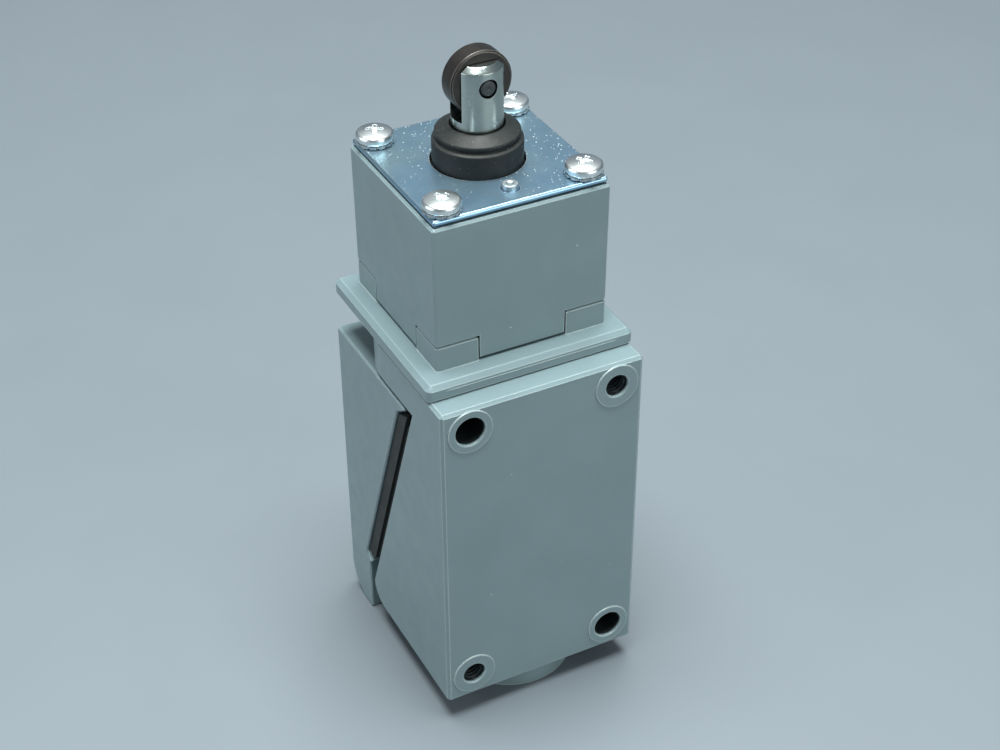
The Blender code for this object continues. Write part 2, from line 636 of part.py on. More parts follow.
def receptacle_outline():
    """Side view of the receptacle: rear wall, arm, sloping rim and rounded foot."""
    arm_front = REAR_Y - ARM_REACH
    outline = [(REAR_Y, BASE_Z), (REAR_Y, BODY_TOP_Z), (arm_front, BODY_TOP_Z)]
    outline.append((arm_front, ARM_FLOOR_Z))
    outline.append((SPLIT_TOP_Y, ARM_FLOOR_Z))
    rim_end = split_at_depth(RECEPTACLE_RIM, FOOT_Y)
    outline.append(rim_end)
    corner = min(FOOT_RADIUS, rim_end[1] - BASE_Z - SEAT_GAP)
    outline += arc((FOOT_Y + corner, BASE_Z + corner), corner, 180.0, 270.0)
    return outline


def arm_trim(side):
    """What is cut from one side of the receptacle so that its arm curves in at the front."""
    start_y = REAR_Y - ARM_CURVE_START
    end_y = REAR_Y - ARM_REACH - OVER
    centre = (X_SIDE - ARM_CURVE_RADIUS, start_y)
    reach = math.degrees(math.asin((start_y - end_y) / ARM_CURVE_RADIUS))
    curve = arc(centre, ARM_CURVE_RADIUS, 0.0, -reach, 8)
    outline = [(side * x, y) for x, y in curve]
    outline += [(side * (X_SIDE + OVER), end_y), (side * (X_SIDE + OVER), start_y)]
    return prism(outline, "z", ARM_FLOOR_Z - LEDGE_GAP / 2, BODY_TOP_Z + OVER)


def mounting_hole(radius, bottom, x, z):
    """The cutter of a mounting hole, with the broken edge at its pad."""
    profile = [(0.0, bottom), (radius, bottom), (radius, MOUNT_Y - HOLE_CHAMFER),
               (radius + 2 * HOLE_CHAMFER, MOUNT_Y + HOLE_CHAMFER), (0.0, MOUNT_Y + HOLE_CHAMFER)]
    return turned(profile, (x, 0, z), "y", 24)


def make_receptacle():
    """Die-cast receptacle: open to the front, with the hub, pads, bosses and arms."""
    shell = prism(receptacle_outline(), "x", -X_SIDE, X_SIDE)
    piece = make_piece("receptacle_housing", round_edges(shell, BODY_EDGE_RADIUS), PAINT)
    hub = rod(HUB_R, 0.0, BASE_Z + OVER, (0, HUB_Y, 0), steps=48)
    pads = [rod(PAD_R, REAR_Y - OVER, MOUNT_Y, (x, 0, z), "y", 28)
            for x in (-HOLE_X, HOLE_X) for z in (HOLE_LOW_Z, HOLE_HIGH_Z)]
    boolean(piece, [hub, *pads], "UNION")
    front = FRONT_Y - OVER
    screw_boss = BODY_SCREW_R + SCREW_BOSS_WALL
    boss_x = -HOLE_X + screw_boss
    boss_z = UPPER_SCREW_Z - screw_boss
    cavity = [(-CAVITY_X, SILL_Z), (CAVITY_X, SILL_Z), (CAVITY_X, CAVITY_ROOF_Z),
              (boss_x, CAVITY_ROOF_Z), (boss_x, boss_z), (-CAVITY_X, boss_z)]
    sump_x = HOLE_X - THROUGH_HOLE_R - SUMP_WALL
    cuts = [
        prism(cavity, "y", front, CAVITY_REAR_Y),
        block((-sump_x, FOOT_Y + SILL_DEPTH, CAVITY_FLOOR_Z), (sump_x, CAVITY_REAR_Y, SILL_Z + OVER)),
        block((-ARM_INNER_X, front, NECK_ROOT_Z - GAP),
              (ARM_INNER_X, REAR_Y - NECK_SLOT_REACH, BODY_TOP_Z + OVER)),
        arm_trim(-1.0),
        arm_trim(1.0),
        rod(HUB_BORE_R, -OVER, CAVITY_FLOOR_Z + OVER, (0, HUB_Y, 0), steps=40),
        mounting_hole(THROUGH_HOLE_R, front, HOLE_X, HOLE_HIGH_Z),
        mounting_hole(THROUGH_HOLE_R, front, -HOLE_X, HOLE_LOW_Z),
        mounting_hole(TAPPED_HOLE_R, MOUNT_Y - TAPPED_HOLE_DEPTH, -HOLE_X, HOLE_HIGH_Z),
        mounting_hole(TAPPED_HOLE_R, MOUNT_Y - TAPPED_HOLE_DEPTH, HOLE_X, HOLE_LOW_Z),
        rod(BODY_SCREW_R + GAP, front, LOWER_SCREW_TIP_Y + OVER, (HOLE_X, 0, HOLE_LOW_Z), "y", 20),
        rod(BODY_SCREW_R + GAP, front, UPPER_SCREW_TIP_Y + OVER, (-HOLE_X, 0, UPPER_SCREW_Z), "y", 20),
        rod(SMALL_SCREW_R + GAP, SILL_Z - GROUND_SCREW_DEPTH - GAP, SILL_Z + OVER, GROUND_SCREW,
            steps=SMALL_STEPS),
    ]
    cuts += [rod(SMALL_SCREW_R + GAP, CAVITY_REAR_Y - OVER, REAR_Y - REAR_SKIN, (0, 0, z), "y",
                 SMALL_STEPS) for z in TERMINAL_SCREW_HEIGHTS]
    return boolean(piece, cuts)


def switch_outline():
    """Side view of the plug-in half: rounded foot, sloping rim, nose and ledge."""
    foot = FRONT_FOOT_RADIUS
    outline = arc((FRONT_Y + foot, foot), foot, 180.0, 270.0, 8)
    outline.append((CHIN_Y, 0.0))
    chin_z = CHIN_TOP[1] - CHIN_LIP_HEIGHT
    outline += [(CHIN_Y, chin_z), (CHIN_Y + CHIN_STEP[0], chin_z + CHIN_STEP[1])]
    outline.append(CHIN_TOP)
    outline.append(NOSE_ROOT)
    tip = NOSE_ROOT[0] + NOSE_REACH
    outline += [(tip, LEDGE_Z - NOSE_DROP), (tip, LEDGE_Z), (FRONT_Y, LEDGE_Z)]
    return outline


def make_switch_body():
    """Die-cast switch body: shell, neck, flange and the four posts that key the head."""
    shell = prism(switch_outline(), "x", -X_SIDE, X_SIDE)
    piece = make_piece("switch_body_housing", round_edges(shell, BODY_EDGE_RADIUS), PAINT)
    neck = block((-NECK_X, FRONT_Y + NECK_FRONT_SETBACK, NECK_ROOT_Z),
                 (NECK_X, NECK_REAR_Y, FLANGE_Z + OVER))
    flange_front = FRONT_Y + FLANGE_SETBACK
    half = FLANGE_SIZE / 2
    flange = block((-half, flange_front, FLANGE_Z), (half, flange_front + FLANGE_SIZE, FLANGE_TOP_Z))
    round_top(round_upright(flange, FLANGE_CORNER_RADIUS), FLANGE_EDGE)
    joined = [neck, flange]
    outer = HEAD_SIZE / 2 - HEAD_DRAFT
    inner = outer - POST_LEG
    for sx in (-1, 1):
        for sy in (-1, 1):
            xs = sorted((sx * inner, sx * outer))
            ys = sorted((AXIS_Y + sy * inner, AXIS_Y + sy * outer))
            post = block((xs[0], ys[0], FLANGE_TOP_Z - OVER), (xs[1], ys[1], POST_TOP_Z))
            centre = (abs(xs[0] + xs[1]) / 2, abs(ys[0] + ys[1] - 2 * AXIS_Y) / 2)
            round_upright(post, HEAD_CORNER_RADIUS, lambda point: (
                abs(point.x) > centre[0] and abs(point.y - AXIS_Y) > centre[1]))
            joined.append(round_top(post, POST_TOP_EDGE))
    boolean(piece, joined, "UNION")
    cavity_x = X_SIDE - SIDE_WALL
    roof = LEDGE_Z - SWITCH_CAVITY_ROOF
    screw_boss = BODY_SCREW_R + SCREW_BOSS_WALL
    boss_x = -HOLE_X + screw_boss
    boss_z = UPPER_SCREW_Z - screw_boss
    cavity = [(-cavity_x, SWITCH_CAVITY_FLOOR), (cavity_x, SWITCH_CAVITY_FLOOR), (cavity_x, roof),
              (boss_x, roof), (boss_x, boss_z), (-cavity_x, boss_z)]
    rear = REAR_Y
    cuts = [
        prism(cavity, "y", FRONT_Y + FRONT_WALL, rear),
        rod(PUSH_ROD_R + GAP, roof - OVER, FLANGE_TOP_Z + OVER, AXIS, steps=20),
        rod(ROD_SEAL_R + GAP, FLANGE_TOP_Z - ROD_SEAL_DEPTH, FLANGE_TOP_Z + OVER, AXIS, steps=24),
        rod(DRIVER_HOLE_R, FRONT_Y - OVER, CHIN_Y + OVER, (-HOLE_X, 0, HOLE_LOW_Z), "y", 28),
        rod(BODY_SCREW_R + GAP, FRONT_Y - OVER, CHIN_Y + OVER, (HOLE_X, 0, HOLE_LOW_Z), "y", 20),
        rod(BODY_SCREW_R + GAP, FRONT_Y - OVER, rear, (-HOLE_X, 0, UPPER_SCREW_Z), "y", 20),
        block((-NAMEPLATE_WIDTH / 2 - GAP, FRONT_Y - OVER, NAMEPLATE_Z - GAP),
              (NAMEPLATE_WIDTH / 2 + GAP, FRONT_Y + NAMEPLATE_RECESS,
               NAMEPLATE_Z + NAMEPLATE_HEIGHT + GAP)),
    ]
    for x, z in BODY_SCREWS:
        cuts.append(rod(BODY_SCREW_CAP_R + GAP, FRONT_Y - OVER, SCREW_SEAT_Y, (x, 0, z), "y", 24))
    for sx in (-1, 1):
        cuts.append(rod(SMALL_SCREW_R + GAP, BLOCK_SCREW_TIP_Y - GAP, FRONT_Y + FRONT_WALL + OVER,
                        (sx * BLOCK_SCREW_X, 0, BLOCK_SCREW_Z), "y", SMALL_STEPS))
    for x, y in HEAD_SCREWS:
        cuts.append(rod(HEAD_SCREW_R + GAP, FLANGE_TOP_Z + OVER, POST_TOP_Z + OVER, (x, y, 0),
                        steps=SMALL_STEPS))
    return boolean(piece, cuts)


def make_gasket():
    """Rubber gasket on the sloping joint: a ring with a thinner lip towards the receptacle."""
    front = SWITCH_RIM + GAP
    step = front + GASKET_BAND
    lip = RECEPTACLE_RIM - GAP
    bend = GASKET_BEND
    inward, upward, corner = GASKET_BEND_STEPS
    band = [split_point(front, GASKET_HIGH), split_point(step, GASKET_HIGH - GASKET_TOP_RISE)]
    band += [split_point(step, GASKET_LOW - bend), split_point(step - inward, GASKET_LOW - upward)]
    band += [split_point(step - bend, GASKET_LOW), split_point(front, GASKET_LOW - corner)]
    x_band = X_SIDE - GASKET_RECESS
    piece = make_piece("body_gasket", prism(band, "x", -x_band, x_band), GASKET_RUBBER)
    x_inner = x_band - GASKET_WALL
    x_lip = x_inner + GASKET_LIP_WALL
    inset = GASKET_WALL - GASKET_LIP_WALL
    root = step - GASKET_LIP_ROOT
    ridge = [split_point(root, GASKET_HIGH + inset), split_point(lip, GASKET_HIGH + inset),
             split_point(lip, GASKET_LOW - inset - bend), split_point(root, GASKET_LOW - inset - bend)]
    boolean(piece, [prism(ridge, "x", -x_lip, x_lip)], "UNION")
    hollow = [split_point(front - GAP, GASKET_HIGH + GASKET_WALL),
              split_point(lip + GAP, GASKET_HIGH + GASKET_WALL),
              split_point(lip + GAP, GASKET_LOW - GASKET_WALL - bend),
              split_point(front - GAP, GASKET_LOW - GASKET_WALL - bend)]
    return boolean(piece, [prism(hollow, "x", -x_inner, x_inner)])


def make_nameplate():
    """Blank rating plate in its recess in the front face."""
    rear = FRONT_Y + NAMEPLATE_RECESS - SEAT_GAP
    half = NAMEPLATE_WIDTH / 2
    plate = block((-half, rear - NAMEPLATE_THICKNESS, NAMEPLATE_Z),
                  (half, rear, NAMEPLATE_Z + NAMEPLATE_HEIGHT))
    return make_piece("nameplate", plate, ALUMINIUM)


# ---------------------------------------------------------------- fixing points

def make_body_screws():
    """The two captive screws that hold the switch body to the receptacle."""
    tips = (UPPER_SCREW_TIP_Y, LOWER_SCREW_TIP_Y)
    for name, (x, z), tip in zip(("body_screw_upper", "body_screw_lower"), BODY_SCREWS, tips):
        seat = SCREW_SEAT_Y - SEAT_GAP
        slot = slot_cutter((x, 0.0, z), seat - BODY_SCREW_CAP_H, BODY_SLOT, BODY_SCREW_CAP_R, "y")
        pan_screw(name, (x, 0.0, z), seat, BODY_SCREW_CAP_R, BODY_SCREW_CAP_H, BODY_SCREW_R, tip,
                  "y", ZINC_PLATE, slot)


# ---------------------------------------------------------------- operating head

def make_head():
    """Die-cast head block: notched at its lower corners, bored for the plunger."""
    top, low = HEAD_SIZE / 2, HEAD_SIZE / 2 - HEAD_DRAFT
    shape = block((-top, AXIS_Y - top, HEAD_Z), (top, AXIS_Y + top, HEAD_TOP_Z))
    for vert in shape.verts:
        if vert.co.z < HEAD_Z + GAP:
            vert.co.x *= low / top
            vert.co.y = AXIS_Y + (vert.co.y - AXIS_Y) * low / top
    round_edges(round_upright(shape, HEAD_CORNER_RADIUS), HEAD_EDGE_RADIUS)
    piece = make_piece("head_housing", shape, PAINT)
    notch = low - POST_LEG - GAP
    reach = top + OVER
    cuts = []
    for sx in (-1, 1):
        for sy in (-1, 1):
            xs = sorted((sx * notch, sx * reach))
            ys = sorted((AXIS_Y + sy * notch, AXIS_Y + sy * reach))
            cuts.append(block((xs[0], ys[0], HEAD_Z - OVER), (xs[1], ys[1], POST_TOP_Z + GAP)))
    cuts += [
        rod(HEAD_BORE_R, HEAD_FLOOR_Z, HEAD_TOP_Z + OVER, AXIS),
        rod(BOOT_FLANGE_R + GAP, HEAD_TOP_Z - BOOT_FLANGE_H - 2 * GAP, HEAD_TOP_Z + OVER, AXIS),
        rod(PUSH_ROD_R + GAP, HEAD_Z - OVER, HEAD_FLOOR_Z + OVER, AXIS, steps=20),
        tube(GASKET_RING_INNER - GAP, GASKET_RING_OUTER + GAP, HEAD_Z - OVER,
             HEAD_Z + GASKET_RING_HEIGHT, AXIS),
        rod(PLATE_PIN_R + GAP, HEAD_TOP_Z - PLATE_PIN_DEPTH - GAP, HEAD_TOP_Z + OVER, PLATE_PIN,
            steps=SMALL_STEPS),
    ]
    cuts += [rod(SCREW_PASSAGE_R, POST_TOP_Z - OVER, HEAD_TOP_Z + OVER, (x, y, 0), steps=SMALL_STEPS)
             for x, y in HEAD_SCREWS]
    return boolean(piece, cuts)


def make_cover_plate():
    """Zinc-plated cover plate under the four head screws."""
    half = PLATE_SIZE / 2
    shape = block((-half, AXIS_Y - half, PLATE_Z), (half, AXIS_Y + half, PLATE_TOP_Z))
    piece = make_piece("head_cover_plate", round_edges(shape, PLATE_EDGE), ZINC_PLATE)
    cuts = [rod(BOOT_COLLAR_R + BOOT_HOLE_CLEARANCE, PLATE_Z - OVER, PLATE_TOP_Z + OVER, AXIS, steps=40),
            rod(PLATE_PIN_R + GAP, PLATE_Z - OVER, PLATE_TOP_Z + OVER, PLATE_PIN, steps=SMALL_STEPS)]
    cuts += [rod(SCREW_PASSAGE_R, PLATE_Z - OVER, PLATE_TOP_Z + OVER, (x, y, 0), steps=SMALL_STEPS)
             for x, y in HEAD_SCREWS]
    return boolean(piece, cuts)


def make_head_hardware():
    """Four head screws with toothed lock washers, and the pin that locates the plate."""
    washer_z = PLATE_TOP_Z + SEAT_GAP
    seat = washer_z + LOCK_WASHER_THICKNESS + SEAT_GAP
    for index, (x, y) in enumerate(HEAD_SCREWS):
        number = index + 1
        outline = []
        for tooth in range(2 * LOCK_WASHER_TEETH):
            radius = LOCK_WASHER_R if tooth % 2 else LOCK_WASHER_R - LOCK_WASHER_NOTCH
            angle = math.tau * (tooth + 0.5) / (2 * LOCK_WASHER_TEETH)
            outline.append((x + radius * math.cos(angle), y + radius * math.sin(angle)))
        washer = prism(outline, "z", washer_z, washer_z + LOCK_WASHER_THICKNESS)
        ring = make_piece(f"head_lock_washer_{number}", washer, ZINC_PLATE)
        hole = rod(SCREW_PASSAGE_R, washer_z - OVER, seat + OVER, (x, y, 0), steps=SMALL_STEPS)
        boolean(ring, [hole])
        recess = cross_recess(HEAD_SCREW_CAP_R, seat + HEAD_SCREW_CAP_H, CROSS_RECESS_DEPTH, (x, y),
                              HEAD_SCREW_TURNS[index])
        pan_screw(f"head_screw_{number}", (x, y, 0.0), seat, HEAD_SCREW_CAP_R, HEAD_SCREW_CAP_H,
                  HEAD_SCREW_R, FLANGE_TOP_Z + HEAD_SCREW_TIP_RISE, "z", ZINC_PLATE, recess)
    pin = rod(PLATE_PIN_R, HEAD_TOP_Z - PLATE_PIN_DEPTH, PLATE_TOP_Z + PLATE_PIN_PROUD, PLATE_PIN, steps=20)
    make_piece("plate_locating_pin", pin, ZINC_PLATE, smooth=True)


def make_boot():
    """Rubber boot: clamped flange, straight collar, groove and a lip that wipes the plunger."""
    base = HEAD_TOP_Z - BOOT_FLANGE_H - GAP
    crown = PLATE_TOP_Z + BOOT_RISE
    wiper = PLUNGER_R + GAP
    inner = BOOT_COLLAR_R - BOOT_WALL
    profile = [
        (BOOT_FLANGE_R, base), (BOOT_FLANGE_R, base + BOOT_FLANGE_H),
        (BOOT_COLLAR_R, base + BOOT_FLANGE_H), (BOOT_COLLAR_R, crown - BOOT_COLLAR_DROP),
        *[(BOOT_GROOVE_R, crown - drop) for drop in BOOT_GROOVE_DROPS],
        *[(BOOT_LIP_R, crown - drop) for drop in BOOT_LIP_DROPS],
        (wiper + BOOT_TOP_LAND, crown), (wiper, crown), (wiper, crown - BOOT_WIPER_HEIGHT),
        (inner, crown - BOOT_INNER_DROP), (inner, base),
    ]
    make_piece("plunger_boot", turned(profile, AXIS), RUBBER, smooth=True)


def make_bushing():
    """Sintered bush that guides the plunger."""
    profile = [(PLUNGER_R + RUN_GAP, BUSHING_Z), (HEAD_BORE_R - GAP, BUSHING_Z),
               (HEAD_BORE_R - GAP, BUSHING_TOP_Z - SEAT_GAP), (PLUNGER_R + RUN_GAP, BUSHING_TOP_Z - SEAT_GAP)]
    make_piece("plunger_bushing", turned(profile, AXIS, steps=ROUND_STEPS), BRONZE, smooth=True)


# ---------------------------------------------------------------- pieces that move

def make_plunger_group():
    """Forked plunger, its retainer, seat washer, push rod, roller pin and roller."""
    carrier = axis_empty("plunger_axis", AXIS)
    fork_top = PLATE_TOP_Z + FORK_TOP_RISE
    groove_low = RETAINER_Z - SEAT_GAP
    groove_high = RETAINER_TOP_Z + SEAT_GAP
    socket_r = PUSH_ROD_R + GAP
    socket_z = PLUNGER_TAIL_Z + ROD_SOCKET_DEPTH
    profile = [
        (0.0, socket_z), (socket_r, socket_z), (socket_r, PLUNGER_TAIL_Z),
        (PLUNGER_TAIL_R, PLUNGER_TAIL_Z), (PLUNGER_TAIL_R, PLUNGER_BODY_Z),
        (PLUNGER_R, PLUNGER_BODY_Z), (PLUNGER_R, groove_low), (RETAINER_GROOVE_R, groove_low),
        (RETAINER_GROOVE_R, groove_high), (PLUNGER_R, groove_high),
        (PLUNGER_R, fork_top - FORK_CHAMFER), (PLUNGER_R - FORK_CHAMFER, fork_top), (0.0, fork_top),
    ]
    plunger = make_piece("plunger", turned(profile, AXIS), STAINLESS, AXIS, True, carrier)
    half_slot = SLOT_WIDTH / 2
    wide = 2 * PLUNGER_R
    boolean(plunger, [
        block((-wide, AXIS_Y - half_slot, PLATE_TOP_Z + SLOT_FLOOR_RISE),
              (wide, AXIS_Y + half_slot, fork_top + wide)),
        rod(ROLLER_PIN_R + ROLLER_PIN_RELIEF, -wide, wide, (0, AXIS_Y, ROLLER_Z), "y", 24),
    ])
    pin_half = ROLLER_PIN_LENGTH / 2
    chamfer = ROLLER_PIN_CHAMFER
    pin = [(0.0, -pin_half), (ROLLER_PIN_R - chamfer, -pin_half), (ROLLER_PIN_R, chamfer - pin_half),
           (ROLLER_PIN_R, pin_half - chamfer), (ROLLER_PIN_R - chamfer, pin_half), (0.0, pin_half)]
    roller_centre = Vector((0.0, AXIS_Y, ROLLER_Z))
    make_piece("roller_pin", turned(pin, roller_centre, "y", 24), OXIDED_STEEL, roller_centre, True, carrier)
    ring = tube(RETAINER_GROOVE_R + SEAT_GAP, RETAINER_R, RETAINER_Z, RETAINER_TOP_Z, AXIS, steps=24)
    retainer = make_piece("plunger_retaining_ring", ring, SPRING_STEEL, AXIS, True, carrier)
    half_split = RETAINER_SPLIT / 2
    boolean(retainer, [block((-half_split, AXIS_Y, RETAINER_Z - GAP),
                             (half_split, AXIS_Y + 2 * RETAINER_R, RETAINER_TOP_Z + GAP))])
    seat = tube(PLUNGER_R + RUN_GAP, RETAINER_R, SPRING_SEAT_Z, SPRING_SEAT_Z + RETAINER_THICKNESS,
                AXIS, steps=24)
    make_piece("return_spring_seat", seat, ZINC_PLATE, AXIS, True, carrier)
    foot = PUSH_ROD_FOOT_Z
    rod_profile = [(0.0, foot), (PUSH_ROD_FOOT_R, foot), (PUSH_ROD_FOOT_R, foot + PUSH_ROD_FOOT_H),
                   (PUSH_ROD_R, foot + PUSH_ROD_FOOT_H), (PUSH_ROD_R, socket_z - GAP), (0.0, socket_z - GAP)]
    make_piece("push_rod", turned(rod_profile, AXIS, steps=20), STAINLESS, AXIS, True, carrier)
    make_roller(roller_centre)


def make_roller(centre):
    """Hardened roller on its pin, free to turn about Y."""
    half = ROLLER_WIDTH / 2
    bore = ROLLER_PIN_R + RUN_GAP
    edge = ROLLER_CHAMFER
    profile = [(bore, -half), (ROLLER_R - edge, -half), (ROLLER_R, edge - half),
               (ROLLER_R, half - edge), (ROLLER_R - edge, half), (bore, half)]
    make_piece("roller", turned(profile, centre, "y", 36), OXIDED_STEEL, centre, True)


def make_springs():
    """Return springs of the plunger and the carrier, and the over-travel spring."""
    low = HEAD_FLOOR_Z + GAP
    radius = PLUNGER_R + RETURN_SPRING_CLEARANCE + RETURN_SPRING_WIRE_R
    spring = coil(radius, RETURN_SPRING_WIRE_R, RETURN_SPRING_TURNS, low, SPRING_SEAT_Z - GAP)
    make_piece("plunger_return_spring", spring, SPRING_STEEL, AXIS, True)
    small = coil(CARRIER_BORE_R - 3 * SMALL_SPRING_WIRE_R, SMALL_SPRING_WIRE_R, 4,
                 CARRIER_BORE_Z + GAP, PUSH_ROD_FOOT_Z - GAP, 8, 4)
    make_piece("overtravel_spring", small, SPRING_STEEL, AXIS, True)
    lower = coil(CARRIER_SPRING_R, SMALL_SPRING_WIRE_R, 4, BLOCK_BOTTOM + BLOCK_WALL + GAP,
                 CARRIER_Z - GAP, 8, 4)
    make_piece("carrier_return_spring", lower, SPRING_STEEL, AXIS, True)


def make_seals():
    """Lip seal on the push rod and the gasket ring under the head."""
    seal = tube(PUSH_ROD_R + RUN_GAP, ROD_SEAL_R, FLANGE_TOP_Z - ROD_SEAL_DEPTH + GAP,
                FLANGE_TOP_Z - GAP, AXIS, steps=24)
    make_piece("push_rod_seal", seal, RUBBER, smooth=True)
    ring = tube(GASKET_RING_INNER, GASKET_RING_OUTER, FLANGE_TOP_Z + SEAT_GAP,
                HEAD_Z + GASKET_RING_HEIGHT - GAP, AXIS, steps=ROUND_STEPS)
    make_piece("head_gasket", ring, RUBBER, smooth=True)


# ---------------------------------------------------------------- contact block

def make_contact_block():
    """Moulded contact block with its cover; the carrier slides in a channel inside."""
    half = BLOCK_WIDTH / 2
    base = make_piece("contact_block_base", block(
        (-half, BLOCK_FRONT_Y, BLOCK_BOTTOM), (half, BLOCK_SPLIT_Y - GAP, BLOCK_TOP)), MOULDING)
    inner = half - BLOCK_SIDE_WALL
    guide_x = CARRIER_WIDTH / 2 + GAP
    carrier_front = AXIS_Y - CARRIER_DEPTH / 2 - GAP
    hollow = block((-inner, BLOCK_FRONT_Y + BLOCK_WALL, BLOCK_BOTTOM + BLOCK_WALL),
                   (inner, BLOCK_SPLIT_Y + OVER, BLOCK_TOP - BLOCK_WALL + GAP))
    screw_holes = [rod(SMALL_SCREW_R + GAP, BLOCK_FRONT_Y - OVER, BLOCK_SPLIT_Y + OVER,
                       (sx * BLOCK_SCREW_X, 0, BLOCK_SCREW_Z), "y", SMALL_STEPS) for sx in (-1, 1)]
    rod_hole = block((-PUSH_ROD_R - GAP, AXIS_Y - PUSH_ROD_R - GAP, BLOCK_TOP - 2 * BLOCK_WALL),
                     (PUSH_ROD_R + GAP, BLOCK_SPLIT_Y + OVER, BLOCK_TOP + OVER))
    boolean(base, [hollow, rod_hole, *screw_holes])
    guide_low = LOWER_BRIDGE_Z + CARRIER_STROKE
    guide_high = UPPER_BRIDGE_Z - CARRIER_STROKE - GAP
    guide = block((-guide_x - BLOCK_WALL, BLOCK_FRONT_Y + OVER, guide_low),
                  (guide_x + BLOCK_WALL, AXIS_Y + CARRIER_DEPTH / 2, guide_high))
    channel = block((-guide_x, carrier_front, guide_low - OVER),
                    (guide_x, BLOCK_SPLIT_Y, guide_high + OVER))
    boolean(base, [guide], "UNION")
    boolean(base, [channel])
    cover = make_piece("contact_block_cover", block(
        (-half, BLOCK_SPLIT_Y, BLOCK_BOTTOM), (half, BLOCK_REAR_Y, BLOCK_TOP)), MOULDING)
    slots = [block((x - STAB_WIDTH / 2 - GAP, BLOCK_SPLIT_Y - OVER, z - GAP),
                   (x + STAB_WIDTH / 2 + GAP, BLOCK_REAR_Y + OVER, z + STAB_THICKNESS + GAP))
             for x in (-CONTACT_X, CONTACT_X) for z in (LOWER_STAB_Z, UPPER_STAB_Z)]
    cover_holes = [rod(SMALL_SCREW_R + GAP, BLOCK_SPLIT_Y - OVER, BLOCK_REAR_Y + OVER,
                       (sx * BLOCK_SCREW_X, 0, BLOCK_SCREW_Z), "y", SMALL_STEPS) for sx in (-1, 1)]
    boolean(cover, slots + cover_holes)
    for number, sx in ((1, -1), (2, 1)):
        seat = BLOCK_REAR_Y + SEAT_GAP
        pan_screw(f"contact_block_screw_{number}", (sx * BLOCK_SCREW_X, 0.0, BLOCK_SCREW_Z), seat,
                  SMALL_SCREW_CAP_R, SMALL_SCREW_CAP_H, SMALL_SCREW_R, BLOCK_SCREW_TIP_Y, "y",
                  ZINC_PLATE,
                  slot_cutter((sx * BLOCK_SCREW_X, 0.0, BLOCK_SCREW_Z), seat + SMALL_SCREW_CAP_H,
                              SMALL_SLOT, SMALL_SCREW_CAP_R, "y"))


def make_carrier_group():
    """Contact carrier with its two bridging contacts."""
    holder = axis_empty("carrier_axis", AXIS)
    half_x, half_y = CARRIER_WIDTH / 2, CARRIER_DEPTH / 2
    body = block((-half_x, AXIS_Y - half_y, CARRIER_Z), (half_x, AXIS_Y + half_y, CARRIER_TOP_Z))
    carrier = make_piece("contact_carrier", round_edges(body, CARRIER_EDGE), WHITE_MOULDING, AXIS, False,
                         holder)
    cuts = [rod(CARRIER_BORE_R, CARRIER_BORE_Z, CARRIER_TOP_Z + OVER, AXIS, steps=20)]
    for level in (UPPER_BRIDGE_Z, LOWER_BRIDGE_Z):
        cuts.append(block((-half_x - OVER, AXIS_Y - BRIDGE_WIDTH / 2 - GAP, level - GAP),
                          (half_x + OVER, AXIS_Y + BRIDGE_WIDTH / 2 + GAP,
                           level + BRIDGE_THICKNESS + GAP)))
    boolean(carrier, cuts)
    for name, level in (("moving_contact_upper", UPPER_BRIDGE_Z), ("moving_contact_lower", LOWER_BRIDGE_Z)):
        bar = block((-BRIDGE_LENGTH / 2, AXIS_Y - BRIDGE_WIDTH / 2, level),
                    (BRIDGE_LENGTH / 2, AXIS_Y + BRIDGE_WIDTH / 2, level + BRIDGE_THICKNESS))
        make_piece(name, round_edges(bar, BRIDGE_EDGE), SILVER, AXIS, False, holder)


def make_stationary_contacts():
    """Four stationary contacts whose tails are the plug-in blades."""
    front = AXIS_Y - STAB_WIDTH / 2
    rear = BLOCK_REAR_Y + STAB_PROJECTION
    for index, (x, z) in enumerate(STABS):
        blade = block((x - STAB_WIDTH / 2, front, z), (x + STAB_WIDTH / 2, rear, z + STAB_THICKNESS))
        for vert in blade.verts:
            if vert.co.y > rear - GAP:
                vert.co.z = z + STAB_THICKNESS / 2 + (vert.co.z - z - STAB_THICKNESS / 2) * 0.5
        piece = make_piece(f"stationary_contact_{index + 1}", blade, BRASS)
        below = z > BLOCK_SCREW_Z
        low = z - CONTACT_BUTTON_H if below else z + STAB_THICKNESS / 2
        high = z + STAB_THICKNESS / 2 if below else z + STAB_THICKNESS + CONTACT_BUTTON_H
        boolean(piece, [rod(CONTACT_BUTTON_R, low, high, (x, AXIS_Y, 0), steps=SMALL_STEPS)], "UNION")


# ---------------------------------------------------------------- terminals

